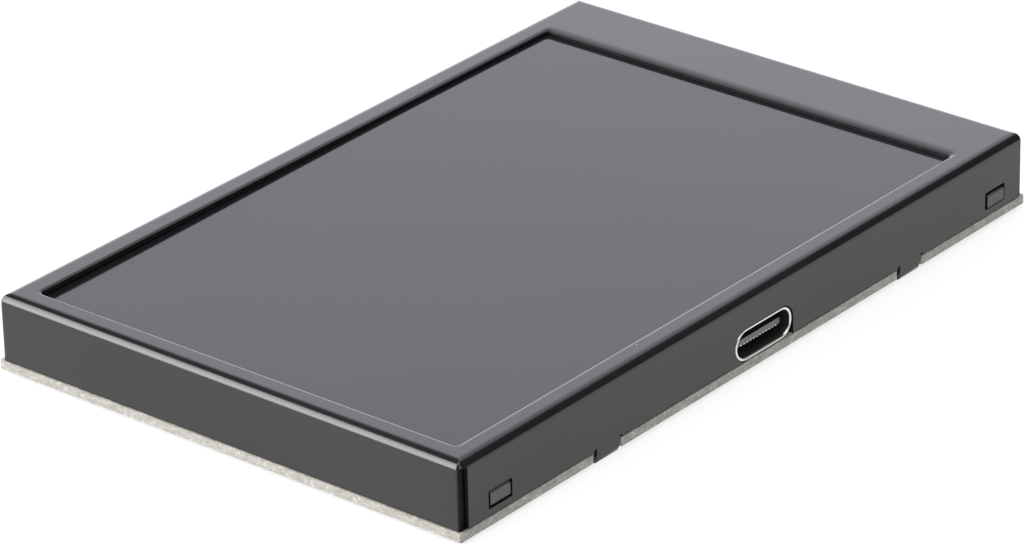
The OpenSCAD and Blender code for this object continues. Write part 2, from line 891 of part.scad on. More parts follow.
module boost_inductor() {
    color("#4a4a4c")
        chip(inductor_at, [inductor_s, inductor_s, inductor_h], 0);
}

module schottky_diode() {
    color(chip_black)
        chip(diode_at, diode_size);
}

// Thickness of the metal ends of two-ended parts
cap_t = 0.25;

// Body of a two-ended part between its metal ends
module part_body(at, size) {
    chip(at, [size[0] - 2 * cap_t, size[1], size[2]], 0);
}

// Metal ends of the same part
module part_ends(at, size) {
    for (side = [-1, 1])
        chip([at[0] + side * (size[0] - cap_t) / 2, at[1]], [cap_t, size[1], size[2]], 0);
}

// Spacing of the small parts: down a column, along a row, and between two columns or rows
column_step = 2;
row_step = 2.4;
bank_step = 2.5;
row_gap = 1.6;

// How far the nearest column and row lie from the middle of the controller
column_x = controller_s / 2 + 4;
row_y = controller_s / 2 + 3.5;

// Middles of a column or a row of small parts that starts at a place
function column(at, count) = [for (i = [0 : count - 1]) [at[0], at[1] + column_step * i]];
function row(at, count) = [for (i = [0 : count - 1]) [at[0] + row_step * i, at[1]]];

capacitor_at = concat(
    column(controller_at - [column_x, 2 * column_step], 5),
    row(controller_at + [-2 * column_step, row_y], 5),
    row(crystal_at - [row_step / 2, bank_step], 2));
resistor_at = concat(
    column(controller_at - [column_x + bank_step, 2 * column_step], 5),
    row(controller_at + [-2 * column_step, row_y + row_gap], 4),
    row(boost_at - [row_step, column_step + row_gap], 4));

module fuse() {
    color(film_white)
        part_body(fuse_at, fuse_size);
}

module bulk_capacitors() {
    color(ceramic_tan)
        for (at = bulk_at)
            part_body(at, bulk_size);
}

module chip_capacitors() {
    color(ceramic_tan)
        for (at = capacitor_at)
            part_body(at, small_part_size);
}

module chip_resistors() {
    color(chip_black)
        for (at = resistor_at)
            part_body(at, small_part_size);
}

module end_caps() {
    color(tin) {
        part_ends(fuse_at, fuse_size);
        for (at = bulk_at)
            part_ends(at, bulk_size);
        for (at = concat(capacitor_at, resistor_at))
            part_ends(at, small_part_size);
    }
}

// ---- Pads ----

flex_pad_w = 0.5;
flex_pad_l = 2;
flex_pad_pitch = 1;
tail_pad_w = 1.4;

// Row of pads under the end of a flex's tail
module pad_row(mid_x, bend_y, span, pitch, w) {
    count = floor((span - w) / pitch) + 1;
    y0 = bend_y - flex_tail;
    for (i = [0 : count - 1]) {
        x = mid_x + (i - (count - 1) / 2) * pitch;
        block([x - w / 2, y0, deck_z], [x + w / 2, y0 + flex_pad_l, deck_z + pad_t]);
    }
}

module flex_pads() {
    color(gold) {
        pad_row(bezel_x, flex_bend_y, flex_w, flex_pad_pitch, flex_pad_w);
        pad_row(bezel_x - tail_x, tail_bend_y, tail_w, tail_w / 2, tail_pad_w);
    }
}

module leg_pads() {
    color(tin)
        difference() {
            leg_bar(leg_ring + leg_gap, board_z - pad_t, board_z);
            leg_bar(leg_gap, board_z - cut, board_z + cut);
        }
}

// Round test pads on the board's underside
test_pad_r = 0.75;
test_pad_pitch = 2.54;
test_pad_count = 6;
test_pad_offset = 6;
test_pad_drop = 20;
test_pad_at = [bezel_x + test_pad_offset, port_mid_y - test_pad_drop];

module test_pads() {
    color(gold)
        for (i = [0 : test_pad_count - 1])
            translate([test_pad_at[0], test_pad_at[1] + i * test_pad_pitch, board_z - pad_t])
                cylinder(h = pad_t, r = test_pad_r);
}

bezel();
gasket();
front_polarizer();
colour_filter_glass();
array_glass();
rear_polarizer();
driver_chip();
display_flex();
rim_tape();
upper_prism_film();
lower_prism_film();
diffuser_film();
light_guide();
reflector_film();
led_strip();
backlight_leds();
backlight_tray();
mid_frame();
main_board();
usb_shell();
usb_insulator();
usb_contacts();
controller_chip();
flash_chip();
esd_chip();
backlight_driver_chip();
voltage_regulator();
chip_leads();
crystal();
boost_inductor();
schottky_diode();
fuse();
bulk_capacitors();
chip_capacitors();
chip_resistors();
end_caps();
flex_pads();
leg_pads();
test_pads();
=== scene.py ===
"""TFT display module: finishes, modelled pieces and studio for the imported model.

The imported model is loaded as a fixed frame, in metres, with the display facing +Z, the
receptacle facing +X and the wide border at the +Y end.
"""

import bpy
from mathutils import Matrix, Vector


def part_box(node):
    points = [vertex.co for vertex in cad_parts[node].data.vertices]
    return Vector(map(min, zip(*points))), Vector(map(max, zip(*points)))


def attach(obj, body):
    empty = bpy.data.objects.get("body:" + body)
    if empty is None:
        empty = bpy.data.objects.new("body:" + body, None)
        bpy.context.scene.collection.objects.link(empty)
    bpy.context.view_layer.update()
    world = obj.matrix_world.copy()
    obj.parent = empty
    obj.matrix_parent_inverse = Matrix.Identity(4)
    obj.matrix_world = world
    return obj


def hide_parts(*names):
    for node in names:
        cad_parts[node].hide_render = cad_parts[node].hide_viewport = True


bl_info = {
    "name": "TFT Display Module",
    "version": (1, 0, 0),
    "blender": (4, 5, 0),
    "location": "3D View > Sidebar > Display Module",
    "description": "Models and finishes a TFT display module round its packed frame",
    "category": "Object",
}

import math

import bmesh
import bpy
from mathutils import Matrix, Vector

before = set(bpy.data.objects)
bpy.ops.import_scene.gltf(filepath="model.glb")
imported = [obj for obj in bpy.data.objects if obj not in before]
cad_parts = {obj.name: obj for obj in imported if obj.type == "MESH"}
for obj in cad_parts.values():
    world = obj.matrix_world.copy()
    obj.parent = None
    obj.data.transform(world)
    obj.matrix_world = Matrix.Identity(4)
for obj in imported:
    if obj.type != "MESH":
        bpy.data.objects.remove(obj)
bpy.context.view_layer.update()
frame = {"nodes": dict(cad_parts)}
MM = 0.001


# ---- Places read from the frame ----


def area_of(node):
    """Area of a node seen from above: low x, high x, low y, high y."""
    low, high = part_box(node)
    return (low.x, high.x, low.y, high.y)


def grown(area, margin):
    """An area with a margin added on all four sides."""
    return (area[0] - margin, area[1] + margin, area[2] - margin, area[3] + margin)


BOARD_LOW, BOARD_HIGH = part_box("main_board")
SHEET_T = BOARD_LOW.z
DECK_Z = BOARD_HIGH.z
FACE_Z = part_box("bezel")[1].z
BEZEL_AREA = area_of("bezel")
POLARIZER_MARGIN = 0.7 * MM
WINDOW_AREA = grown(area_of("front_polarizer"), -POLARIZER_MARGIN)
SHELL_LOW, SHELL_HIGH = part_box("usb_shell")
PORT_Y = (SHELL_LOW.y + SHELL_HIGH.y) / 2
PORT_FACE_X = SHELL_HIGH.x
PORT_BACK_X = SHELL_LOW.x


# ---- Settings shown in the sidebar ----


def length(name, description, default):
    return bpy.props.FloatProperty(
        name=name, description=description, default=default * MM, min=0, unit="LENGTH", subtype="DISTANCE"
    )


def angle(name, description, degrees):
    return bpy.props.FloatProperty(
        name=name, description=description, default=math.radians(degrees), subtype="ANGLE"
    )


def level(name, description, default):
    return bpy.props.FloatProperty(name=name, description=description, default=default, min=0)


def colour(name, description, default):
    return bpy.props.FloatVectorProperty(
        name=name, description=description, default=default, min=0, max=1, size=3, subtype="COLOR"
    )


class BezelSettings(bpy.types.PropertyGroup):
    fold_r: length("Fold radius", "Outside radius of the folds round the face", 1.0)
    corner_r: length("Face corner radius", "Radius of the face's corners from the front", 0.6)
    window_r: length("Window radius", "Radius of the window's corners", 0.5)
    crown_w: length("Crown width", "Width over which the face eases into a fold", 0.25)
    roll_over: length("Roll-over", "Width of the soft edge at the window's near and right sides", 0.35)
    wide_roll_over: length("Wide roll-over", "Width of the soft edge at its left side", 0.5)
    far_roll_over: length("Far roll-over", "Width of the soft edge at its far side", 1.3)
    rim_ease_l: length("Rim easing", "Length over which the left edge widens from the near end", 35)
    roll_depth: length("Roll-over depth", "Drop of the soft edge round the window", 0.14)
    edge_r: length("Edge rounding", "Rounding that stamping leaves on cut edges", 0.05)
    slit_short: length("Short skirt setback", "Gap from a short skirt's end to the corner", 0.25)
    slit_long: length("Long skirt setback", "Gap from a long skirt's end to the corner", 0.75)
    open_slit_short: length("Open slit, short side", "The same gap at the widest slit", 0.35)
    open_slit_long: length("Open slit, long side", "The same gap at the widest slit", 1.1)
    slit_drop: length("Slit drop", "Drop from the face to the top of a slit", 0.65)
    latch_w: length("Latch window width", "Width of a latch window", 3.4)
    latch_h: length("Latch window height", "Height of a latch window", 1.9)
    latch_rise: length("Latch rise", "Height of a latch window's middle above the board", 1.65)
    latch_near: length("Near latch distance", "Distance of the near latches from their end", 5.65)
    latch_far: length("Far latch distance", "Distance of the far latches from their end", 4.9)
    tab_w: length("Tab width", "Width of a tab bent under the board", 3.4)
    tab_pitch: length("Tab spacing", "Spacing of the tabs along a side", 48.1)
    tab_bend_r: length("Tab bend radius", "Outside radius of a tab's bend", 0.5)
    tab_foot: length("Tab foot", "Length of a tab's foot past its bend", 1.2)
    tab_corner_r: length("Tab corner", "Rounding of a tab's far shoulder", 1.1)
    relief_w: length("Relief width", "Width of the relief slots beside a tab", 0.4)
    relief_h: length("Relief height", "Height of the relief slots above the board", 0.3)
    port_gap: length("Port side gap", "Gap between the receptacle and the sides of its cut-out", 0.13)
    port_gap_above: length("Port top gap", "Gap between the receptacle and the top of its cut-out", 0.05)
    port_shift: length("Port shift", "Offset of the cut-out towards the far end", 0.09)


class ScreenSettings(bpy.types.PropertyGroup):
    free_margin: length("Free margin", "Border of the film past the window, clear of the gasket", 0.15)
    ramp_l: length("Ramp length", "Length over which the film comes up from the near end", 60)
    near_drop: length("Near drop", "Depth of the film below its middle plane at the near end", 0.13)
    far_rise: length("Far rise", "Height of the film over its middle plane at the far end", 0.14)


class BoardSettings(bpy.types.PropertyGroup):
    corner_r: length("Board corner radius", "Radius of the board's corners", 0.25)
    mask_t: length("Mask thickness", "Thickness of the solder mask and its copper", 0.045)
    bare_rim: length("Bare rim", "Border of the board that the mask leaves bare", 0.28)
    notch_gap: length("Notch gap", "Gap between a tab and its notch", 0.1)
    notch_slack: length("Notch slack", "Extra width of a notch in front of its tab", 0.7)
    via_r: length("Via radius", "Outside radius of a covered via", 0.3)
    via_spacing: length("Via spacing", "Spacing of the vias along the board's border", 2.54)
    trace_w: length("Trace width", "Width of the narrow traces", 0.25)


class PortSettings(bpy.types.PropertyGroup):
    shell_t: length("Shell sheet", "Thickness of the shell's sheet", 0.3)
    shell_lift: length("Shell lift", "Gap between the shell and the board", 0.05)
    lip_r: length("Lip rounding", "Rounding of the shell's mouth", 0.11)
    tongue_w: length("Tongue width", "Width of the tongue", 6.69)
    tongue_t: length("Tongue thickness", "Thickness of the tongue", 0.66)
    tongue_recess: length("Tongue recess", "Depth of the tongue's tip below the mouth", 0.65)
    cavity: length("Cavity depth", "Depth of the hollow in front of the moulded back", 6.2)
    contact_w: length("Contact width", "Width of a contact", 0.25)
    contact_pitch: length("Contact pitch", "Spacing of the contacts", 0.5)
    contacts: bpy.props.IntProperty(name="Contacts", description="Contacts on each face", default=12, min=2)


class FrameSettings(bpy.types.PropertyGroup):
    far_lug_drop: length("Far lug drop", "How far the far lugs sit below their nominal height", 0.18)
    far_lug_reach: length("Far lug reach", "How far the far lugs stand out past their nominal faces", 0.05)


class FinishSettings(bpy.types.PropertyGroup):
    paint: colour("Bezel paint", "Satin black paint of the bezel", (0.009, 0.009, 0.0095))
    screen: colour("Screen", "Dark polarizer over the panel", (0.012, 0.012, 0.014))
    laminate: colour("Laminate", "Cut edge of the glass-fibre board", (0.29, 0.28, 0.248))
    mask: colour("Solder mask", "Black solder mask on the board", (0.008, 0.009, 0.009))
    shell: colour("Receptacle shell", "Bright nickel of the receptacle", (0.82, 0.8, 0.77))
    # Painted shade: the frame's plastic is made darker than black moulding, so it reads black inside the
    # corner slit
    plastic: colour("Moulded frame", "Black plastic of the frame", (0.004, 0.004, 0.0045))


class StudioSettings(bpy.types.PropertyGroup):
    azimuth: angle("Azimuth", "Camera's turn from the near end", 39.8303)
    elevation: angle("Elevation", "Camera's height over the horizon", 26.2266)
    roll: angle("Roll", "Camera's turn about its own axis", -1.3182)
    distance: length("Distance", "Distance from the camera to its aim", 550.12)
    lens: bpy.props.FloatProperty(
        name="Lens", description="Focal length in millimetres", default=197.74, min=1
    )
    aim: bpy.props.FloatVectorProperty(
        name="Aim", description="Point the camera looks at", default=(0.0023063, -0.0047365, 0.00423),
        size=3, unit="LENGTH", subtype="XYZ",
    )
    softbox: level("Softbox", "Radiance of the left softbox", 8.3)
    backdrop: level("Backdrop", "Radiance of the left backdrop", 1.85)
    overhead: level("Overhead", "Radiance of the light above", 5.0)
    fill: level("Fill", "Radiance of the right fill light", 2.5)


def settings():
    return bpy.context.scene.display_module


class ModuleSettings(bpy.types.PropertyGroup):
    bezel: bpy.props.PointerProperty(type=BezelSettings)
    screen: bpy.props.PointerProperty(type=ScreenSettings)
    board: bpy.props.PointerProperty(type=BoardSettings)
    port: bpy.props.PointerProperty(type=PortSettings)
    frame: bpy.props.PointerProperty(type=FrameSettings)
    finish: bpy.props.PointerProperty(type=FinishSettings)
    studio: bpy.props.PointerProperty(type=StudioSettings)


# ---- Node materials ----


class Finish:
    """A material whose nodes are added a call at a time, on Object coordinates."""

    def __init__(self, name):
        self.material = bpy.data.materials.new(name)
        self.material.use_nodes = True
        self.tree = self.material.node_tree
        self.nodes = self.tree.nodes
        self.shader = self.nodes["Principled BSDF"]
        self.coords = self.nodes.new("ShaderNodeTexCoord").outputs["Object"]

    def put(self, **values):
        """Sets constant sockets of the shader, named with underscores for spaces."""
        for key, value in values.items():
            socket = self.shader.inputs[key.replace("_", " ")]
            socket.default_value = (*value, 1) if hasattr(value, "__len__") and len(value) == 3 else value
        return self

    def link(self, output, socket):
        """Joins an output to a socket, or to the shader's socket of that name."""
        target = self.shader.inputs[socket] if isinstance(socket, str) else socket
        self.tree.links.new(output, target)

    def stretched(self, scale):
        """Object coordinates multiplied by a scale on each axis."""
        mapping = self.nodes.new("ShaderNodeMapping")
        mapping.inputs["Scale"].default_value = scale
        self.tree.links.new(self.coords, mapping.inputs["Vector"])
        return mapping.outputs["Vector"]

    def noise(self, scale, detail=4.0, roughness=0.6, distortion=0.0, vector=None):
        """Fractal noise from 0 to 1."""
        node = self.nodes.new("ShaderNodeTexNoise")
        node.inputs["Scale"].default_value = scale
        node.inputs["Detail"].default_value = detail
        node.inputs["Roughness"].default_value = roughness
        node.inputs["Distortion"].default_value = distortion
        self.tree.links.new(vector or self.coords, node.inputs["Vector"])
        return node.outputs["Fac"]

    def cells(self, scale):
        """Distance to the middle of the nearest of many random cells."""
        node = self.nodes.new("ShaderNodeTexVoronoi")
        node.inputs["Scale"].default_value = scale
        self.tree.links.new(self.coords, node.inputs["Vector"])
        return node.outputs["Distance"]

    def ramp(self, factor, stops):
        """Colour ramp: stops are (position, colour or grey)."""
        node = self.nodes.new("ShaderNodeValToRGB")
        ramp = node.color_ramp
        while len(ramp.elements) < len(stops):
            ramp.elements.new(0.5)
        for element, (position, value) in zip(ramp.elements, stops):
            element.position = position
            element.color = (*value, 1) if hasattr(value, "__len__") else (value, value, value, 1)
        self.tree.links.new(factor, node.inputs["Fac"])
        return node.outputs["Color"]

    def spread(self, factor, low, high):
        """Maps a 0 to 1 factor onto low to high."""
        node = self.nodes.new("ShaderNodeMapRange")
        node.inputs["From Min"].default_value = 0.25
        node.inputs["From Max"].default_value = 0.75
        node.inputs["To Min"].default_value = low
        node.inputs["To Max"].default_value = high
        self.tree.links.new(factor, node.inputs["Value"])
        return node.outputs["Result"]

    def mix(self, factor, a, b):
        """Mixes two colours, which are sockets or constants."""
        node = self.nodes.new("ShaderNodeMix")
        node.data_type = "RGBA"
        for value, socket in ((factor, node.inputs[0]), (a, node.inputs[6]), (b, node.inputs[7])):
            if isinstance(value, bpy.types.NodeSocket):
                self.tree.links.new(value, socket)
            elif hasattr(value, "__len__"):
                socket.default_value = (*value, 1)
            else:
                socket.default_value = value
        return node.outputs[2]

    def maths(self, operation, a, b=None):
        """A sum of one or two values, which are sockets or numbers."""
        node = self.nodes.new("ShaderNodeMath")
        node.operation = operation
        for value, socket in ((a, node.inputs[0]), (b, node.inputs[1])):
            if isinstance(value, bpy.types.NodeSocket):
                self.tree.links.new(value, socket)
            elif value is not None:
                socket.default_value = value
        return node.outputs[0]

    def bump(self, factor, strength, distance):
        """Adds a relief, on top of any that's there already."""
        node = self.nodes.new("ShaderNodeBump")
        node.inputs["Strength"].default_value = strength
        node.inputs["Distance"].default_value = distance
        self.tree.links.new(factor, node.inputs["Height"])
        last = self.shader.inputs["Normal"]
        if last.is_linked:
            self.tree.links.new(last.links[0].from_socket, node.inputs["Normal"])
        self.link(node.outputs["Normal"], "Normal")
        return self


FINISHES = {}


def finish(name):
    """The named material, built once."""
    if name not in FINISHES:
        FINISHES[name] = BUILDERS[name]().material
    return FINISHES[name]


def times(base, factor):
    """A colour made lighter or darker."""
    return tuple(factor * c for c in base)


def satin_paint():
    f = Finish("satin_black_paint")
    base = tuple(settings().finish.paint)
    f.put(Metallic=0.0, IOR=1.5)
    paint = f.ramp(f.noise(60, 3), [(0.3, base), (0.75, times(base, 1.5))])
    specks = f.ramp(f.cells(190), [(0.0, 1.0), (0.008, 1.0), (0.012, 0.0)])
    places = f.ramp(f.noise(70, 2), [(0.56, 0.0), (0.6, 1.0)])
    f.link(f.mix(f.maths("MULTIPLY", specks, places), paint, (0.5, 0.5, 0.48)), "Base Color")
    f.link(f.spread(f.noise(130, 5, 0.65, 0.6), 0.13, 0.19), "Roughness")
    return f.bump(f.noise(5200, 2), 0.06, 0.00004)


def polarizer_film():
    f = Finish("dark_polarizer")
    base = tuple(settings().finish.screen)
    f.put(Metallic=0.0, IOR=1.39)
    f.link(f.ramp(f.noise(25, 2), [(0.3, base), (0.75, times(base, 1.25))]), "Base Color")
    f.link(f.spread(f.noise(90, 4), 0.1, 0.14), "Roughness")
    return f.bump(f.noise(9000, 1), 0.02, 0.00002)


def laminate():
    f = Finish("glass_fibre_laminate")
    base = tuple(settings().finish.laminate)
    brown = tuple(c * k for c, k in zip(base, (0.55, 0.5, 0.42)))
    pale = tuple(min(1.0, 1.35 * c) for c in base)
    white = (0.74, 0.74, 0.7)
    f.put(Metallic=0.0, Roughness=0.62, IOR=1.5)
    torn = f.noise(2300, 5, 0.7, 0.4, f.stretched((1, 1, 1.6)))
    layers = f.noise(380, 3, 0.6, 0.2, f.stretched((1, 1, 12)))
    mottled = f.ramp(torn, [(0.3, brown), (0.44, base), (0.57, pale), (0.7, white)])
    banded = f.ramp(layers, [(0.35, brown), (0.5, base), (0.65, pale)])
    f.link(f.mix(0.3, mottled, banded), "Base Color")
    return f.bump(torn, 0.7, 0.00008).bump(layers, 0.3, 0.00004)


def solder_mask():
    f = Finish("black_solder_mask")
    base = tuple(settings().finish.mask)
    f.put(Metallic=0.0, IOR=1.52)
    f.link(f.ramp(f.noise(200, 4), [(0.3, base), (0.8, times(base, 1.8))]), "Base Color")
    f.link(f.spread(f.noise(400, 4), 0.3, 0.42), "Roughness")
    weave = f.noise(1400, 2, 0.5, 0.0, f.stretched((1, 0.35, 1)))
    return f.bump(weave, 0.12, 0.00003)


def bright_nickel():
    f = Finish("bright_nickel")
    base = tuple(settings().finish.shell)
    f.put(Metallic=1.0)
    f.link(f.ramp(f.noise(350, 4), [(0.3, times(base, 0.9)), (0.7, base)]), "Base Color")
    f.link(f.spread(f.noise(900, 5), 0.16, 0.28), "Roughness")
    return f.bump(f.noise(700, 3, 0.6, 0.0, f.stretched((0.15, 1, 1))), 0.1, 0.00002)


def moulded_plastic():
    # Its base colour is darkened as painted shade for the frame seen in the slits
    f = Finish("moulded_plastic_painted_shade")
    base = tuple(settings().finish.plastic)
    f.put(Metallic=0.0, IOR=1.5, Specular_IOR_Level=0.12)
    f.link(f.ramp(f.noise(900, 3), [(0.3, base), (0.8, times(base, 1.6))]), "Base Color")
    f.link(f.spread(f.noise(1500, 4), 0.42, 0.58), "Roughness")
    return f.bump(f.noise(3500, 3), 0.5, 0.00004)


def plain_finish(name, base, metallic, low, high, scale, strength, depth=0.00002):
    """A finish whose colour, gloss and surface vary a little at one scale."""
    def build():
        f = Finish(name)
        f.put(Metallic=metallic, IOR=1.5)
        f.link(f.ramp(f.noise(scale * 0.4, 4), [(0.3, times(base, 0.8)), (0.7, base)]), "Base Color")
        f.link(f.spread(f.noise(scale, 4), low, high), "Roughness")
        return f.bump(f.noise(scale * 2.5, 3), strength, depth)
    return build


def bare_cut_edge():
    """Thin, matt paint on the edges that the press cuts."""
    f = Finish("bare_cut_edge")
    f.put(Metallic=0.0, IOR=1.5, Specular_IOR_Level=0.12)
    f.link(f.ramp(f.noise(1800, 4), [(0.3, 0.008), (0.75, 0.02)]), "Base Color")
    f.link(f.spread(f.noise(2400, 4), 0.6, 0.85), "Roughness")
    return f.bump(f.noise(4200, 3), 0.5, 0.00003)


def clear_glass():
    f = Finish("panel_glass")
    f.put(Metallic=0.0, IOR=1.52, Transmission_Weight=0.85)
    f.link(f.ramp(f.noise(60, 2), [(0.3, (0.66, 0.74, 0.74)), (0.7, (0.72, 0.8, 0.8))]), "Base Color")
    f.link(f.spread(f.noise(120, 3), 0.02, 0.06), "Roughness")
    return f.bump(f.noise(800, 2), 0.02, 0.00001)


BUILDERS = {
    "black_paint": satin_paint,
    "polarizer": polarizer_film,
    "board_edge": laminate,
    "board": solder_mask,
    "shell_steel": bright_nickel,
    "frame_plastic": moulded_plastic,
    # Painted light: a lighter grey for the lugs' outward faces, which are of the frame's own plastic
    "lug_face_painted_light": plain_finish("lug_face_painted_light", (0.095, 0.095, 0.1), 0.0, 0.4, 0.62, 4200, 0.8, 0.00006),
    "cut_edge": bare_cut_edge,
    # Painted shade: a dark, non-metal finish for the inside of the receptacle's nickel shell
    "shell_inside": plain_finish("shell_inner_painted_shade", (0.02, 0.02, 0.021), 0.0, 0.45, 0.6, 1500, 0.2),
    # Painted highlight: pale bright metal for the lower contacts in place of gold, so their ends show as
    # white glints
    "lower_contacts_painted_highlight": plain_finish("lower_contact_painted_highlight", (0.92, 0.92, 0.94), 1.0, 0.15, 0.3, 2500, 0.3),
    "glass": clear_glass,
    # Painted light: a paler grey for the front face of the tongue, which is of the same black moulding
    "tongue_tip_painted_light": plain_finish("tongue_tip_painted_light", (0.16, 0.16, 0.17), 0.0, 0.35, 0.5, 2600, 0.3, 0.00003),
    "black_foam": plain_finish("black_foam", (0.018, 0.018, 0.019), 0.0, 0.8, 0.95, 2500, 0.5, 0.00005),
    "silicon": plain_finish("polished_silicon", (0.09, 0.09, 0.1), 0.4, 0.12, 0.2, 600, 0.05),
    "polyimide": plain_finish("amber_polyimide", (0.5, 0.22, 0.04), 0.0, 0.3, 0.42, 500, 0.1),
    "film": plain_finish("optical_film", (0.82, 0.84, 0.86), 0.0, 0.25, 0.4, 900, 0.1),
    "guide": plain_finish("light_guide_acrylic", (0.78, 0.83, 0.85), 0.0, 0.08, 0.16, 700, 0.05),
    "led_body": plain_finish("diode_body", (0.85, 0.8, 0.62), 0.0, 0.3, 0.4, 900, 0.1),
    "tray_steel": plain_finish("tray_steel", (0.6, 0.6, 0.6), 1.0, 0.28, 0.42, 500, 0.15),
    "chip_black": plain_finish("chip_moulding", (0.022, 0.022, 0.023), 0.0, 0.5, 0.68, 2600, 0.4, 0.00003),
    "gold": plain_finish("gold_plate", (0.86, 0.62, 0.25), 1.0, 0.18, 0.3, 1200, 0.1),
    "tin": plain_finish("solder_tin", (0.72, 0.72, 0.73), 1.0, 0.25, 0.4, 1400, 0.2),
    "ferrite": plain_finish("ferrite", (0.06, 0.06, 0.06), 0.0, 0.55, 0.75, 1800, 0.4, 0.00004),
    "ceramic_tan": plain_finish("tan_ceramic", (0.42, 0.3, 0.17), 0.0, 0.4, 0.55, 1500, 0.2),
    "ceramic_white": plain_finish("white_ceramic", (0.78, 0.77, 0.73), 0.0, 0.35, 0.5, 1500, 0.2),
}


# ---- Mesh tools ----


# Vertices closer than this are one
WELD = 1e-7


def mesh_object(name, bm, material=None):
    """An object at the origin from a bmesh, which is freed."""
    mesh = bpy.data.meshes.new(name)
    bm.to_mesh(mesh)
    bm.free()
    obj = bpy.data.objects.new(name, mesh)
    bpy.context.scene.collection.objects.link(obj)
    if material is not None:
        mesh.materials.append(material)
    return obj


def baked(obj):
    """Turns an object's modifiers into its mesh."""
    depsgraph = bpy.context.evaluated_depsgraph_get()
    mesh = bpy.data.meshes.new_from_object(obj.evaluated_get(depsgraph))
    old = obj.data
    obj.modifiers.clear()
    obj.data = mesh
    bpy.data.meshes.remove(old)
    return obj


def rounded(obj, width, segments=2, angle=30):
    """Rounds sharp edges, keeps broad faces flat and bakes the result."""
    bevel = obj.modifiers.new("Rounding", "BEVEL")
    bevel.width = width
    bevel.segments = segments
    bevel.limit_method = "ANGLE"
    bevel.angle_limit = math.radians(angle)
    bevel.use_clamp_overlap = True
    bevel.harden_normals = False
    weighted = obj.modifiers.new("Flat faces", "WEIGHTED_NORMAL")
    weighted.keep_sharp = True
    for polygon in obj.data.polygons:
        polygon.use_smooth = True
    return baked(obj)


def painted(obj, *names):
    """Gives an object the named finishes, and no other."""
    obj.data.materials.clear()
    for name in names:
        obj.data.materials.append(finish(name))
    return obj


def keep(obj, slot, *nodes):
    """Hands a finished piece to the frame, in place of the nodes it stands for."""
    if nodes:
        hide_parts(*nodes)
    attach(obj, "root")
    return obj


def arc(centre, r, start, stop, steps):
    """Points round a centre, from one angle to another in degrees."""
    angles = [math.radians(start + (stop - start) * i / steps) for i in range(steps + 1)]
    return [(centre[0] + r * math.cos(a), centre[1] + r * math.sin(a)) for a in angles]


def round_rectangle(area, r, steps=8):
    """Corner points of an area with round corners, anticlockwise."""
    x0, x1, y0, y1 = area
    return (
        arc((x1 - r, y0 + r), r, -90, 0, steps)
        + arc((x1 - r, y1 - r), r, 0, 90, steps)
        + arc((x0 + r, y1 - r), r, 90, 180, steps)
        + arc((x0 + r, y0 + r), r, 180, 270, steps)
    )


def stadium(width, height, steps=16):
    """Points of a stadium about (0, 0), anticlockwise, lying along its first axis."""
    r = height / 2
    half = width / 2 - r
    return arc((half, 0), r, -90, 90, steps) + arc((-half, 0), r, 90, 270, steps)


def band(bm, ring, following):
    """Adds a closed strip of quads between two rings of as many vertices."""
    count = len(ring)
    for i in range(count):
        j = (i + 1) % count
        bm.faces.new((ring[i], ring[j], following[j], following[i]))


def bar(bm, rings):
    """Adds a closed bar through a row of rings of four vertices."""
    for ring, following in zip(rings, rings[1:]):
        for i in range(4):
            j = (i + 1) % 4
            bm.faces.new((ring[i], following[i], following[j], ring[j]))
    bm.faces.new(rings[0])
    bm.faces.new(list(reversed(rings[-1])))


def prism(bm, points, low, high):
    """Adds an upright prism over an outline of (x, y) points."""
    bottom = [bm.verts.new((x, y, low)) for x, y in points]
    top = [bm.verts.new((x, y, high)) for x, y in points]
    bm.faces.new(list(reversed(bottom)))
    bm.faces.new(top)
    band(bm, bottom, top)
    return bottom + top


def block(bm, low, high):
    """Adds a block between two corners."""
    points = [(low[0], low[1]), (high[0], low[1]), (high[0], high[1]), (low[0], high[1])]
    return prism(bm, points, low[2], high[2])


def prism_x(bm, points, low, high):
    """Adds a prism along X over an outline of (y, z) points."""
    verts = prism(bm, points, low, high)
    for v in verts:
        v.co = Vector((v.co.z, v.co.x, v.co.y))
    return verts


def upright(verts):
    """Stands a shape that was drawn flat in X and Y up in X and Z."""
    for v in verts:
        v.co = Vector((v.co.x, v.co.z, v.co.y))


def cut_by(obj, cutter):
    """Subtracts a cutter from an object, and removes the cutter."""
    boolean = obj.modifiers.new("Cut", "BOOLEAN")
    boolean.operation = "DIFFERENCE"
    boolean.solver = "EXACT"
    boolean.object = cutter
    baked(obj)
    bpy.data.objects.remove(cutter)
    return obj


def merged_copy(node, name):
    """A closed copy of a CAD node's mesh, with its flat faces made whole."""
    bm = bmesh.new()
    bm.from_mesh(frame["nodes"][node].data)
    bmesh.ops.remove_doubles(bm, verts=bm.verts, dist=WELD)
    bmesh.ops.dissolve_limit(bm, angle_limit=math.radians(0.5), verts=bm.verts, edges=bm.edges)
    for face in bm.faces:
        face.material_index = 0
    return mesh_object(name, bm)


# ---- Bezel ----


ROLL_STEPS = 9
FOLD_STEPS = 12
CROWN_STEPS = 5
CROWN_SLOPE = math.radians(4)
LEAST_R = 0.03 * MM
LATCH_CORNER_R = 0.15 * MM
CUTTER_REACH = 1 * MM
TRIM_REACH = 5 * MM
TRIM_LOW_Z = -3 * MM
BEND_STEPS = 8
# Faces this near the sheet's own surface keep the paint, and faces this far past the window don't
SHEET_SLACK = 0.03 * MM
RIM_REACH = 0.12 * MM


def latch_ys():
    """Middles of the latch windows along a side."""
    b = settings().bezel
    return (BEZEL_AREA[2] + b.latch_near, BEZEL_AREA[3] - b.latch_far)


def tab_ys():
    """Middles of the tabs along a side."""
    half = settings().bezel.tab_pitch / 2
    return (PORT_Y - half, PORT_Y + half)


def loft(bm, rows):
    """Skins a stack of outlines of the same count, and joins the last to the first."""
    rings = [[bm.verts.new((x, y, z)) for x, y in points] for points, z in rows]
    for lower, upper in zip(rings, rings[1:] + rings[:1]):
        band(bm, lower, upper)


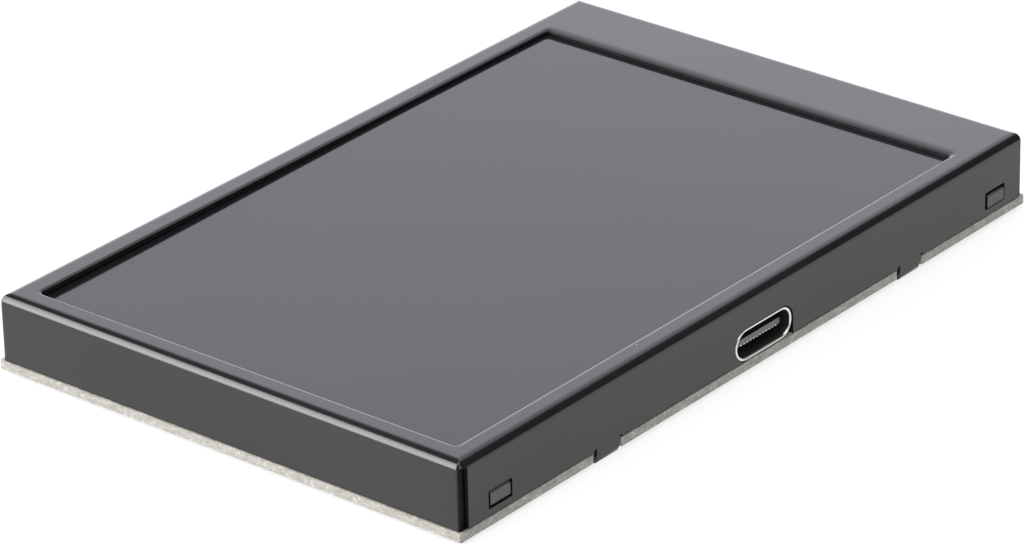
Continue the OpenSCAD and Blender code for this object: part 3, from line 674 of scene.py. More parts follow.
def fold_rows(area, fold_r, corner_r, top_z, crown_w):
    """Outlines from a skirt up over its fold, easing into the flat face over a crown."""
    ease = CROWN_SLOPE if crown_w else 0
    drop = crown_w * math.tan(ease) / 2
    base = top_z - drop + fold_r * (1 - math.cos(ease))
    rows = []
    for i in range(FOLD_STEPS + 1):
        slope = math.pi / 2 + (ease - math.pi / 2) * i / FOLD_STEPS
        inset = fold_r * (1 - math.sin(slope))
        rows.append((inset, base - fold_r * (1 - math.cos(slope))))
    last = rows[-1][0]
    crown_steps = CROWN_STEPS if crown_w else 0
    for i in range(1, crown_steps + 1):
        share = i / crown_steps
        rows.append((last + crown_w * share, top_z - drop * (1 - share) ** 2))
    return [(round_rectangle(grown(area, -inset), max(corner_r - inset, LEAST_R)), z) for inset, z in rows]


def window_rim(turn):
    """The window's outline while its rim rolls over: turn is 1 at the face, 0 in the window."""
    b = settings().bezel
    narrow, wide = b.roll_over * turn, b.wide_roll_over * turn
    x0, x1, y0, y1 = WINDOW_AREA
    area = (x0 - wide, x1 + narrow, y0 - narrow, y1 + b.far_roll_over * turn)
    outline = []
    for x, y in round_rectangle(area, b.window_r + (narrow + wide) / 2):
        near = 1 - min(max((y - y0) / b.rim_ease_l, 0), 1)
        if x < (x0 + x1) / 2:
            x += (wide - narrow) * near * near
        outline.append((x, y))
    return outline


def pressed_shell():
    """The sheet with its window: a shallow pan of even thickness, open below."""
    b = settings().bezel
    under_z = FACE_Z - SHEET_T
    rows = [(round_rectangle(BEZEL_AREA, b.corner_r), 0)]
    rows += fold_rows(BEZEL_AREA, b.fold_r, b.corner_r, FACE_Z, b.crown_w)
    for i in range(ROLL_STEPS + 1):
        turn = 1 - i / ROLL_STEPS
        rows.append((window_rim(turn), FACE_Z - b.roll_depth * (1 - turn) ** 2))
    rows.append((round_rectangle(WINDOW_AREA, b.window_r), under_z))
    inside = grown(BEZEL_AREA, -SHEET_T)
    inner_rows = fold_rows(inside, b.fold_r - SHEET_T, b.corner_r - SHEET_T, under_z, 0)
    rows += reversed(inner_rows)
    rows.append((round_rectangle(inside, b.corner_r - SHEET_T), 0))
    bm = bmesh.new()
    loft(bm, rows)
    bmesh.ops.recalc_face_normals(bm, faces=bm.faces)
    return mesh_object("bezel", bm)


def slit_outline(x_side, y_side):
    """An L round a corner of the skirts, which leaves no web at the inner corner."""
    b = settings().bezel
    over = CUTTER_REACH
    x, y = BEZEL_AREA[x_side], BEZEL_AREA[2 + y_side]
    x_out, y_out = 2 * x_side - 1, 2 * y_side - 1
    widest = x_side == 1 and y_side == 0
    short = b.open_slit_short if widest else b.slit_short
    long = b.open_slit_long if widest else b.slit_long
    behind = 2 * b.corner_r
    reaches = (
        (-over, -over), (short, -over), (short, SHEET_T),
        (behind, SHEET_T), (behind, long), (-over, long),
    )
    return [(x - x_out * across, y - y_out * deep) for across, deep in reaches]


def port_outline():
    """The receptacle's cut-out: round at the top and the near side, straight down at the far one."""
    b = settings().bezel
    port_w = (SHELL_HIGH.y - SHELL_LOW.y) + 2 * b.port_gap
    port_h = (SHELL_HIGH.z - shell_bottom()) + 2 * b.port_gap_above
    mid_z = (SHELL_HIGH.z + shell_bottom()) / 2
    middle = PORT_Y + b.port_shift
    near, far = middle - (port_w - port_h) / 2, middle + (port_w - port_h) / 2
    points = arc((near, mid_z), port_h / 2, 180, 90, 12)
    points += arc((far, mid_z), port_h / 2, 90, 0, 12)
    points += [(middle + port_w / 2, 0), (near, 0)]
    points += arc((near, mid_z), port_h / 2, 270, 180, 12)[:-1]
    return points


def piercings():
    """Everything that the press cuts out of the bezel, as one cutter."""
    b = settings().bezel
    over = CUTTER_REACH
    mid = DECK_Z + b.latch_rise
    bm = bmesh.new()
    for x_side in (0, 1):
        for y_side in (0, 1):
            prism(bm, slit_outline(x_side, y_side), -over, FACE_Z - b.slit_drop)
        x, out = BEZEL_AREA[x_side], 2 * x_side - 1
        wall = sorted((x - out * 2 * SHEET_T, x + out * over))
        for y in latch_ys():
            area = (y - b.latch_w / 2, y + b.latch_w / 2, mid - b.latch_h / 2, mid + b.latch_h / 2)
            prism_x(bm, round_rectangle(area, LATCH_CORNER_R, 4), *wall)
    prism_x(bm, port_outline(), BEZEL_AREA[1] - 2 * SHEET_T, BEZEL_AREA[1] + over)
    bmesh.ops.recalc_face_normals(bm, faces=bm.faces)
    return mesh_object("piercings", bm)


def relief_slot(y):
    """Round top of a relief slot whose near side is at y."""
    b = settings().bezel
    r = b.relief_w / 2
    return arc((y + r, DECK_Z + b.relief_h - r), r, 0, 180, 8)


def side_trim():
    """What is cut away below the long skirts, which leaves a strip for each tab."""
    b = settings().bezel
    over, low_z = TRIM_REACH, TRIM_LOW_Z
    gaps = []
    last = BEZEL_AREA[2] - over
    for y in tab_ys():
        gaps.append((last, y - b.tab_w / 2))
        last = y + b.tab_w / 2
    gaps.append((last, BEZEL_AREA[3] + over))
    bm = bmesh.new()
    for side in (0, 1):
        x, out = BEZEL_AREA[side], 2 * side - 1
        xs = sorted((x + out * over, x - out * (2 * SHEET_T + b.relief_w)))
        for y0, y1 in gaps:
            past_tab, before_tab = y0 > BEZEL_AREA[2], y1 < BEZEL_AREA[3]
            r = b.tab_corner_r
            outline = arc((y0 - r, r), r, 0, -90, 8) + [(y0 - r, low_z)] if past_tab else [(y0, low_z)]
            outline.append((y1, low_z))
            outline += relief_slot(y1 - b.relief_w) if before_tab else []
            outline.append((y1 - b.relief_w if before_tab else y1, DECK_Z))
            outline.append((y0 + b.relief_w if past_tab else y0, DECK_Z))
            outline += relief_slot(y0) if past_tab else []
            prism_x(bm, outline, *xs)
    bmesh.ops.recalc_face_normals(bm, faces=bm.faces)
    return mesh_object("side_trim", bm)


def end_trim():
    """What is cut away below the skirts at both ends."""
    over = TRIM_REACH
    bm = bmesh.new()
    block(
        bm,
        (BEZEL_AREA[0] + 1.5 * SHEET_T, BEZEL_AREA[2] - over, -over),
        (BEZEL_AREA[1] - 1.5 * SHEET_T, BEZEL_AREA[3] + over, DECK_Z),
    )
    return mesh_object("end_trim", bm)


def fold_tabs(obj):
    """Bends the strips under the board: what is below the bend turns inwards."""
    b = settings().bezel
    mid_r = b.tab_bend_r - SHEET_T / 2
    arc_length = mid_r * math.pi / 2
    bend_z = b.tab_bend_r
    bm = bmesh.new()
    bm.from_mesh(obj.data)
    for i in range(BEND_STEPS + 1):
        z = bend_z - arc_length * i / BEND_STEPS
        geometry = list(bm.verts) + list(bm.edges) + list(bm.faces)
        bmesh.ops.bisect_plane(bm, geom=geometry, plane_co=(0, 0, z), plane_no=(0, 0, 1), dist=WELD)
    for v in bm.verts:
        if v.co.z > bend_z - WELD:
            continue
        side = 1 if v.co.x > 0 else -1
        wall = BEZEL_AREA[1] if side > 0 else BEZEL_AREA[0]
        depth = side * (wall - v.co.x)
        run = bend_z - v.co.z
        turn = min(run / arc_length, 1) * math.pi / 2
        r = b.tab_bend_r - depth
        centre_x = wall - side * b.tab_bend_r
        past = max(run - arc_length, 0)
        v.co.x = centre_x + side * (r * math.cos(turn) - past * math.sin(turn))
        v.co.z = bend_z - r * math.sin(turn) - past * math.cos(turn)
    bmesh.ops.recalc_face_normals(bm, faces=bm.faces)
    bm.to_mesh(obj.data)
    bm.free()


def darken_cut_edges(obj):
    """Gives the walls of the window, slits and openings the bare edge's finish."""
    obj.data.materials.append(finish("cut_edge"))
    window = grown(WINDOW_AREA, RIM_REACH)
    x0, x1, y0, y1 = BEZEL_AREA
    for polygon in obj.data.polygons:
        c, n = polygon.center, polygon.normal
        in_window = window[0] < c.x < window[1] and window[2] < c.y < window[3]
        in_skirt = DECK_Z + 0.1 * MM < c.z < FACE_Z - settings().bezel.fold_r
        depths = ((n.x, min(c.x - x0, x1 - c.x)), (n.y, min(c.y - y0, y1 - c.y)))
        on_sheet = any(
            abs(across) > 0.85 and min(depth, abs(depth - SHEET_T)) < SHEET_SLACK
            for across, depth in depths
        )
        # The slits at the far end are closed tight, so their ends keep the paint
        closed_slit = abs(n.x) > 0.85 and c.y > 0
        if (in_window and abs(n.z) < 0.8) or (in_skirt and not on_sheet and not closed_slit):
            polygon.material_index = 1


def build_bezel():
    """The folded sheet: pan, piercings, trimmed skirts and bent tabs."""
    b = settings().bezel
    obj = pressed_shell()
    cut_by(obj, piercings())
    # The strips reach down by a quarter turn of the bend and the foot's length
    mid_r = b.tab_bend_r - SHEET_T / 2
    reach = b.tab_bend_r - mid_r * math.pi / 2 - b.tab_foot
    for v in obj.data.vertices:
        if v.co.z < WELD:
            v.co.z = reach
    cut_by(obj, end_trim())
    cut_by(obj, side_trim())
    fold_tabs(obj)
    painted(obj, "black_paint")
    rounded(obj, b.edge_r, 2, 40)
    darken_cut_edges(obj)
    return keep(obj, "black_paint", "bezel")


# ---- Screen ----


FILM_STEPS = 24
FILM_EDGE_R = 0.02 * MM
FILM_CORNER_R = 0.3 * MM


def build_screen():
    """The dark film over the panel, which lies a little deeper at the near end."""
    low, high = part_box("front_polarizer")
    own = settings().screen
    free = grown(WINDOW_AREA, own.free_margin)

    def section(bm, y):
        """A slice across the free film, whose top rises smoothly from the near end."""
        share = min(max((y - free[2]) / own.ramp_l, 0), 1)
        share = share * share * (3 - 2 * share)
        top = high.z - own.near_drop + (own.near_drop + own.far_rise) * share
        corners = ((free[0], low.z), (free[1], low.z), (free[1], top), (free[0], top))
        return [bm.verts.new((x, y, z)) for x, z in corners]

    bm = bmesh.new()
    length_y = free[3] - free[2]
    bar(bm, [section(bm, free[2] + length_y * i / FILM_STEPS) for i in range(FILM_STEPS + 1)])
    bmesh.ops.recalc_face_normals(bm, faces=bm.faces)
    under_lip = bmesh.new()
    outline = round_rectangle(area_of("front_polarizer"), FILM_CORNER_R)
    prism(under_lip, outline, low.z, high.z - own.near_drop)
    border = mesh_object("front_polarizer_border", under_lip)
    hole = bmesh.new()
    block(hole, (free[0], free[2], low.z - 1 * MM), (free[1], free[3], high.z + 1 * MM))
    cut_by(border, mesh_object("free_area", hole))
    film = mesh_object("front_polarizer", bm)
    keep(rounded(painted(border, "polarizer"), FILM_EDGE_R), "polarizer")
    keep(rounded(painted(film, "polarizer"), FILM_EDGE_R, 2, 40), "polarizer", "front_polarizer")


# ---- Geometry Nodes ----


def node_group(name, inputs):
    """A geometry tree with named inputs, and its group input and output nodes."""
    tree = bpy.data.node_groups.new(name, "GeometryNodeTree")
    tree.interface.new_socket("Geometry", in_out="INPUT", socket_type="NodeSocketGeometry")
    for title, kind, value in inputs:
        socket = tree.interface.new_socket(title, in_out="INPUT", socket_type=kind)
        if value is not None:
            socket.default_value = value
    tree.interface.new_socket("Geometry", in_out="OUTPUT", socket_type="NodeSocketGeometry")
    return tree, tree.nodes.new("NodeGroupInput"), tree.nodes.new("NodeGroupOutput")


def finish_tree(tree, start, end, points, centred=True):
    """Ends a tree: copies of the piece on points, moved, made real and given their material."""
    place = tree.nodes.new("GeometryNodeInstanceOnPoints")
    tree.links.new(points, place.inputs["Points"])
    tree.links.new(start.outputs["Geometry"], place.inputs["Instance"])
    copies = place.outputs["Instances"]
    if centred:
        move = tree.nodes.new("GeometryNodeTransform")
        tree.links.new(copies, move.inputs["Geometry"])
        tree.links.new(start.outputs["Centre"], move.inputs["Translation"])
        copies = move.outputs["Geometry"]
    real = tree.nodes.new("GeometryNodeRealizeInstances")
    paint = tree.nodes.new("GeometryNodeSetMaterial")
    tree.links.new(copies, real.inputs["Geometry"])
    tree.links.new(real.outputs["Geometry"], paint.inputs["Geometry"])
    tree.links.new(start.outputs["Material"], paint.inputs["Material"])
    tree.links.new(paint.outputs["Geometry"], end.inputs["Geometry"])
    return tree


def row_tree():
    """Copies of a piece in a straight row."""
    tree, start, end = node_group("Row of copies", (
        ("Count", "NodeSocketInt", 2),
        ("Step", "NodeSocketVector", None),
        ("Material", "NodeSocketMaterial", None),
    ))
    line = tree.nodes.new("GeometryNodeMeshLine")
    tree.links.new(start.outputs["Count"], line.inputs["Count"])
    tree.links.new(start.outputs["Step"], line.inputs["Offset"])
    return finish_tree(tree, start, end, line.outputs["Mesh"], centred=False)


def border_tree():
    """Copies of a piece evenly spaced round a rectangle."""
    tree, start, end = node_group("Border of copies", (
        ("Width", "NodeSocketFloat", 0.05),
        ("Length", "NodeSocketFloat", 0.08),
        ("Spacing", "NodeSocketFloat", 0.00254),
        ("Centre", "NodeSocketVector", None),
        ("Material", "NodeSocketMaterial", None),
    ))
    outline = tree.nodes.new("GeometryNodeCurvePrimitiveQuadrilateral")
    points = tree.nodes.new("GeometryNodeCurveToPoints")
    points.mode = "LENGTH"
    tree.links.new(start.outputs["Width"], outline.inputs["Width"])
    tree.links.new(start.outputs["Length"], outline.inputs["Height"])
    tree.links.new(outline.outputs["Curve"], points.inputs["Curve"])
    tree.links.new(start.outputs["Spacing"], points.inputs["Length"])
    return finish_tree(tree, start, end, points.outputs["Points"])


def scatter_tree():
    """Copies of a piece at random places on a rectangle, no two close together."""
    tree, start, end = node_group("Scattered copies", (
        ("Width", "NodeSocketFloat", 0.04),
        ("Length", "NodeSocketFloat", 0.07),
        ("Least Gap", "NodeSocketFloat", 0.003),
        ("Density", "NodeSocketFloat", 60000.0),
        ("Seed", "NodeSocketInt", 3),
        ("Centre", "NodeSocketVector", None),
        ("Material", "NodeSocketMaterial", None),
    ))
    sheet = tree.nodes.new("GeometryNodeMeshGrid")
    scatter = tree.nodes.new("GeometryNodeDistributePointsOnFaces")
    scatter.distribute_method = "POISSON"
    tree.links.new(start.outputs["Width"], sheet.inputs["Size X"])
    tree.links.new(start.outputs["Length"], sheet.inputs["Size Y"])
    tree.links.new(sheet.outputs["Mesh"], scatter.inputs["Mesh"])
    tree.links.new(start.outputs["Least Gap"], scatter.inputs["Distance Min"])
    tree.links.new(start.outputs["Density"], scatter.inputs["Density Max"])
    tree.links.new(start.outputs["Seed"], scatter.inputs["Seed"])
    return finish_tree(tree, start, end, scatter.outputs["Points"])


TREES = {}


def repeated(obj, builder, **inputs):
    """Runs a tree on an object with its named inputs, and bakes the result."""
    if builder.__name__ not in TREES:
        TREES[builder.__name__] = builder()
    tree = TREES[builder.__name__]
    modifier = obj.modifiers.new("Copies", "NODES")
    modifier.node_group = tree
    sockets = {i.name: i.identifier for i in tree.interface.items_tree if i.in_out == "INPUT"}
    for title, value in inputs.items():
        modifier[sockets[title.replace("_", " ")]] = value
    return baked(obj)


def merged_objects(name, parts):
    """One object from several, whose materials are kept."""
    bm = bmesh.new()
    materials = []
    for part in parts:
        first = len(bm.faces)
        bm.from_mesh(part.data)
        bm.faces.ensure_lookup_table()
        for face in bm.faces[first:]:
            material = part.data.materials[min(face.material_index, len(part.data.materials) - 1)]
            if material not in materials:
                materials.append(material)
            face.material_index = materials.index(material)
        bpy.data.objects.remove(part)
    obj = mesh_object(name, bm)
    for material in materials:
        obj.data.materials.append(material)
    return obj


# ---- Circuit board ----


def board_area():
    return (BOARD_LOW.x, BOARD_HIGH.x, BOARD_LOW.y, BOARD_HIGH.y)


LEG_XS = (PORT_FACE_X - 2.2 * MM, PORT_FACE_X - 6.2 * MM)
LEG_L = 1.1 * MM
LEG_T = 0.3 * MM
LEG_CHAMFER = 0.25 * MM
LEG_EDGE_R = 0.04 * MM
LEG_SLOT_GAP = 0.15 * MM
# The bare land at the receptacle: its depth from the mouth, and its reach past the shell
LAND_L = 1.6 * MM
LAND_MARGIN = 0.4 * MM
LAMINATE_EDGE_R = 0.015 * MM
MASK_EDGE_R = 0.01 * MM
TRACE_RISE = 0.018 * MM
# How deep traces and vias start inside the mask
BURIED = 0.01 * MM
VIA_RISE = 0.02 * MM
VIA_INSET = 1.6 * MM
VIA_SIDES = 12


def leg_places():
    """Middles of the receptacle's four legs on the board."""
    half = (SHELL_HIGH.y - SHELL_LOW.y - LEG_T) / 2
    return [(x, PORT_Y + side * half) for x in LEG_XS for side in (-1, 1)]


def slot_outline(place, margin, steps=8):
    """Round-ended slot round a leg, grown by a margin."""
    points = stadium(LEG_L + 2 * margin, LEG_T + 2 * margin, steps)
    return [(place[0] + x, place[1] + y) for x, y in points]


def board_cutters():
    """Tab notches and leg slots, through the whole board."""
    bezel, board = settings().bezel, settings().board
    over = 1 * MM
    low, high = BOARD_LOW.z - over, BOARD_HIGH.z + over
    depth = SHEET_T + board.notch_gap
    bm = bmesh.new()
    for y in tab_ys():
        y0 = y - bezel.tab_w / 2 - board.notch_slack
        y1 = y + bezel.tab_w / 2 + board.notch_gap
        block(bm, (BEZEL_AREA[1] - depth, y0, low), (BOARD_HIGH.x + over, y1, high))
        block(bm, (BOARD_LOW.x - over, y0, low), (BEZEL_AREA[0] + depth, y1, high))
    for place in leg_places():
        prism(bm, slot_outline(place, LEG_SLOT_GAP), low, high)
    return mesh_object("board_cutters", bm)


def board_layer(name, low_z, high_z, inset, material, edge_r, land=False):
    """One layer of the board over its whole outline, which may leave a bare land at the receptacle."""
    bm = bmesh.new()
    area = grown(board_area(), -inset)
    prism(bm, round_rectangle(area, settings().board.corner_r), low_z, high_z)
    obj = mesh_object(name, bm)
    cut_by(obj, board_cutters())
    if land:
        half = (SHELL_HIGH.y - SHELL_LOW.y) / 2 + LAND_MARGIN
        bm = bmesh.new()
        block(
            bm,
            (PORT_FACE_X - LAND_L, PORT_Y - half, low_z - 1 * MM),
            (BOARD_HIGH.x + 1 * MM, PORT_Y + half, high_z + 1 * MM),
        )
        cut_by(obj, mesh_object("land", bm))
    return rounded(painted(obj, material), edge_r, 2, 40)


def ribbon(bm, points, width, low_z, high_z):
    """Flat strip of even width along a line of (x, y) points, with mitred bends."""
    sides = []
    for i, (x, y) in enumerate(points):
        before = Vector(points[i]) - Vector(points[max(i - 1, 0)])
        after = Vector(points[min(i + 1, len(points) - 1)]) - Vector(points[i])
        before = before.normalized() if before.length else after.normalized()
        after = after.normalized() if after.length else before
        along = (before + after).normalized()
        across = Vector((-along.y, along.x)) * width / 2 / max(along.dot(before), 0.3)
        sides.append(((x + across.x, y + across.y), (x - across.x, y - across.y)))
    rings = [
        [bm.verts.new((*p, z)) for p, z in ((left, low_z), (left, high_z), (right, high_z), (right, low_z))]
        for left, right in sides
    ]
    bar(bm, rings)


def traces():
    """Buses of traces, which stand up a little under the mask of the underside."""
    board = settings().board
    step = 2 * board.trace_w
    mid_x = (BOARD_LOW.x + BOARD_HIGH.x) / 2
    low_z, high_z = BOARD_LOW.z - TRACE_RISE, BOARD_LOW.z + BURIED
    bm = bmesh.new()

    def bus(count, start, turns, width=board.trace_w, spread=1.0):
        """Parallel traces: start, then (dx, dy) runs in millimetres."""
        for i in range(count):
            offset = (i - (count - 1) / 2) * step * spread
            x, y = start[0] + offset, start[1]
            points = [(x, y)]
            for dx, dy in turns:
                x, y = x + dx * MM, y + dy * MM
                if not dx:
                    y -= 0.4 * offset
                points.append((x, y))
            ribbon(bm, points, width, low_z, high_z)

    bus(10, (mid_x - 4 * MM, BOARD_HIGH.y - 8 * MM), [(0, -9), (5, -5), (0, -11)])
    bus(6, (mid_x - 14 * MM, PORT_Y - 2 * MM), [(0, -10), (4, -4), (0, -12)])
    bus(4, (mid_x + 14 * MM, PORT_Y + 9 * MM), [(0, 8), (-5, 5), (0, 9)])
    bus(3, (mid_x - 19 * MM, PORT_Y + 4 * MM), [(0, 16), (3, 3), (0, 10)])
    bus(2, (mid_x + 17 * MM, PORT_Y - 3 * MM), [(-5, -5), (0, -10), (-4, -4), (0, -8)], spread=1.4)
    bus(1, (mid_x - 21 * MM, PORT_Y - 34 * MM), [(0, 26), (4, 4), (0, 20)], width=4 * board.trace_w)
    bus(1, (mid_x + 21 * MM, PORT_Y - 30 * MM), [(0, 16), (-3, 3)], width=4 * board.trace_w)
    bmesh.ops.recalc_face_normals(bm, faces=bm.faces)
    return mesh_object("board_traces", bm, finish("board"))


def via(r, height):
    """A covered via on the underside: a low ring with a dimple in its middle."""
    bm = bmesh.new()
    z0, z1 = BOARD_LOW.z + BURIED, BOARD_LOW.z - height
    last = 360 - 360 / VIA_SIDES
    rings = []
    for radius, z in ((r, z0), (r * 0.92, z1), (r * 0.55, z1), (r * 0.35, z0 - height * 0.3)):
        rings.append([bm.verts.new((x, y, z)) for x, y in arc((0, 0), radius, 0, last, VIA_SIDES - 1)])
    for outer, inner in zip(rings, rings[1:]):
        band(bm, outer, inner)
    bm.faces.new(rings[-1])
    bm.faces.new(list(reversed(rings[0])))
    bmesh.ops.recalc_face_normals(bm, faces=bm.faces)
    return mesh_object("via", bm, finish("board"))


def vias():
    """Vias round the border and scattered over the middle of the underside."""
    board = settings().board
    area = grown(board_area(), -VIA_INSET)
    width, depth = area[1] - area[0], area[3] - area[2]
    centre = ((area[0] + area[1]) / 2, (area[2] + area[3]) / 2, 0)
    border = repeated(
        via(board.via_r, VIA_RISE), border_tree,
        Width=width, Length=depth, Spacing=board.via_spacing, Centre=centre, Material=finish("board"),
    )
    middle = repeated(
        via(board.via_r * 0.8, VIA_RISE), scatter_tree,
        Width=width * 0.8, Length=depth * 0.86, Least_Gap=3.2 * MM, Density=45000.0, Seed=7,
        Centre=centre, Material=finish("board"),
    )
    obj = merged_objects("board_vias", [border, middle])
    for polygon in obj.data.polygons:
        polygon.use_smooth = True
    return obj


def build_board():
    """The board as a laminate between two masks, with the relief of its underside."""
    board = settings().board
    low, high = BOARD_LOW.z, BOARD_HIGH.z
    low_mask, high_mask = low + board.mask_t, high - board.mask_t
    core = board_layer("board_laminate", low_mask, high_mask, 0, "board_edge", LAMINATE_EDGE_R)
    top = board_layer("board_mask_top", high_mask, high, board.bare_rim, "board", MASK_EDGE_R, land=True)
    bottom = board_layer("board_mask_bottom", low, low_mask, board.bare_rim, "board", MASK_EDGE_R)
    keep(core, "board", "main_board")
    for obj in (top, bottom, traces(), vias()):
        keep(obj, "board")


# ---- Receptacle ----


LIP_TURNS = (30, 60, 90)
TONGUE_CORNER_R = 0.12 * MM
TONGUE_EDGE_R = 0.03 * MM
CONTACT_EDGE_R = 0.025 * MM
CONTACT_LIFT = 0.02 * MM
CONTACT_DEPTH = 0.1 * MM
# The upper contacts stop short of the tongue's tip, and the lower ones just past it
UPPER_SETBACK = 0.7 * MM
LOWER_SETBACK = -0.015 * MM
TAIL_T = 0.1 * MM
TAIL_R = 0.15 * MM
TAIL_INSIDE = 0.6 * MM
TAIL_FOOT = 1.1 * MM


def port_middle():
    """Middle of the receptacle's mouth."""
    radius = (SHELL_HIGH.z - shell_bottom()) / 2
    return Vector((PORT_FACE_X, PORT_Y, SHELL_HIGH.z - radius))


def shell_bottom():
    """Underside of the shell's tube, above its legs."""
    return DECK_Z + settings().port.shell_lift


def stadium_ring(bm, grow, x, steps=16):
    """Vertices of the shell's outline, grown, in the plane at x."""
    middle = port_middle()
    width = SHELL_HIGH.y - SHELL_LOW.y + 2 * grow
    height = SHELL_HIGH.z - shell_bottom() + 2 * grow
    return [bm.verts.new((x, middle.y + y, middle.z + z)) for y, z in stadium(width, height, steps)]


def build_shell():
    """The receptacle's drawn shell, with a rounded mouth and four legs; its inner faces behind the mouth
    get a dark finish as painted shade.
    """
    port = settings().port
    bm = bmesh.new()
    t, lip = port.shell_t, port.lip_r
    front, back = PORT_FACE_X, PORT_BACK_X
    rows = [(0, back), (0, front - lip)]
    for turn in LIP_TURNS:
        a = math.radians(turn)
        rows.append((-lip * (1 - math.cos(a)), front - lip * (1 - math.sin(a))))
    for turn in LIP_TURNS[::-1] + (0,):
        a = math.radians(turn)
        rows.append((-t + lip * (1 - math.cos(a)), front - lip * (1 - math.sin(a))))
    rows.append((-t, back))
    rings = [stadium_ring(bm, grow, x) for grow, x in rows]
    for ring, following in zip(rings, rings[1:] + rings[:1]):
        band(bm, ring, following)
    bmesh.ops.recalc_face_normals(bm, faces=bm.faces)
    shell = mesh_object("usb_shell", bm, finish("shell_steel"))
    # The inner faces behind the mouth take this second finish, which is painted shade in place of nickel
    shell.data.materials.append(finish("shell_inside"))
    middle = port_middle()
    for polygon in shell.data.polygons:
        polygon.use_smooth = True
        outwards = (polygon.center - middle) * Vector((0, 1, 1))
        if polygon.center.x < front - 1.5 * lip and polygon.normal.dot(outwards) < 0:
            polygon.material_index = 1
    bm = bmesh.new()
    low, top, chamfer = SHELL_LOW.z, middle.z, LEG_CHAMFER
    for x, y in leg_places():
        x0, x1 = x - LEG_L / 2, x + LEG_L / 2
        outline = [
            (x0, top), (x0, low + chamfer), (x0 + chamfer, low),
            (x1 - chamfer, low), (x1, low + chamfer), (x1, top),
        ]
        upright(prism(bm, outline, y - LEG_T / 2, y + LEG_T / 2))
    bmesh.ops.recalc_face_normals(bm, faces=bm.faces)
    legs = rounded(mesh_object("legs", bm, finish("shell_steel")), LEG_EDGE_R)
    keep(merged_objects("usb_shell", [shell, legs]), "shell_steel", "usb_shell")


def build_tongue():
    """Moulded back and tongue, whose tip face is painted paler than its other faces as painted light."""
    port = settings().port
    middle = port_middle()
    tip_x = PORT_FACE_X - port.tongue_recess
    back_x = PORT_FACE_X - port.cavity
    bm = bmesh.new()
    inner_w = SHELL_HIGH.y - SHELL_LOW.y - 2 * port.shell_t
    inner_h = SHELL_HIGH.z - shell_bottom() - 2 * port.shell_t
    inner = [(middle.y + y, middle.z + z) for y, z in stadium(inner_w, inner_h)]
    prism_x(bm, inner, PORT_BACK_X, back_x)
    half_w, half_t = port.tongue_w / 2, port.tongue_t / 2
    area = (middle.y - half_w, middle.y + half_w, middle.z - half_t, middle.z + half_t)
    prism_x(bm, round_rectangle(area, TONGUE_CORNER_R, 4), back_x, tip_x)
    bmesh.ops.recalc_face_normals(bm, faces=bm.faces)
    obj = mesh_object("usb_insulator", bm, finish("chip_black"))
    # The tip's front face gets the paler grey, which is painted light
    obj.data.materials.append(finish("tongue_tip_painted_light"))
    for polygon in obj.data.polygons:
        if polygon.normal.x > 0.9 and polygon.center.x > tip_x - WELD:
            polygon.material_index = 1
    keep(rounded(obj, TONGUE_EDGE_R), "chip_black", "usb_insulator")


def contact_span():
    """Low and high Y of the first contact."""
    port = settings().port
    first = port_middle().y - (port.contacts - 1) / 2 * port.contact_pitch
    return first - port.contact_w / 2, first + port.contact_w / 2


def contacts_of(piece, material):
    """A row of copies of the first contact's piece."""
    port = settings().port
    step = (0, port.contact_pitch, 0)
    return repeated(piece, row_tree, Count=port.contacts, Step=step, Material=material)


def contact_row(side, setback, material):
    """One face's contacts as a row along the tongue: side is 1 above, -1 below."""
    port = settings().port
    low_y, high_y = contact_span()
    face = port_middle().z + side * port.tongue_t / 2
    low_z, high_z = sorted((face + side * CONTACT_LIFT, face - side * CONTACT_DEPTH))
    tip_x = PORT_FACE_X - port.tongue_recess - setback
    bm = bmesh.new()
    block(bm, (PORT_FACE_X - port.cavity, low_y, low_z), (tip_x, high_y, high_z))
    return contacts_of(rounded(mesh_object("contact", bm, material), CONTACT_EDGE_R), material)


def contact_tails():
    """Tails that drop behind the shell and lie on the board."""
    top_z = port_middle().z
    foot_z = DECK_Z + TAIL_T / 2
    path = [(PORT_BACK_X + TAIL_INSIDE, top_z), (PORT_BACK_X, top_z)]
    path += arc((PORT_BACK_X, top_z - TAIL_R), TAIL_R, 90, 180, 4)
    path += arc((PORT_BACK_X - 2 * TAIL_R, foot_z + TAIL_R), TAIL_R, 0, -90, 4)
    path += [(PORT_BACK_X - TAIL_FOOT, foot_z)]
    bm = bmesh.new()
    ribbon(bm, path, TAIL_T, *contact_span())
    upright(bm.verts)
    bmesh.ops.recalc_face_normals(bm, faces=bm.faces)
    return contacts_of(mesh_object("tail", bm, finish("gold")), finish("gold"))


def build_contacts():
    """Both rows of contacts and the tails behind the shell, as one piece."""
    obj = merged_objects("usb_contacts", [
        contact_row(1, UPPER_SETBACK, finish("gold")),
        # The lower row gets the pale metal, as a painted highlight at the tongue's lower edge
        contact_row(-1, LOWER_SETBACK, finish("lower_contacts_painted_highlight")),
        contact_tails(),
    ])
    keep(obj, "gold", "usb_contacts")


# ---- Moulded frame ----


FRAME_EDGE_R = 0.06 * MM
LUG_SLACK = 0.05 * MM
LUG_SPAN = 2 * MM


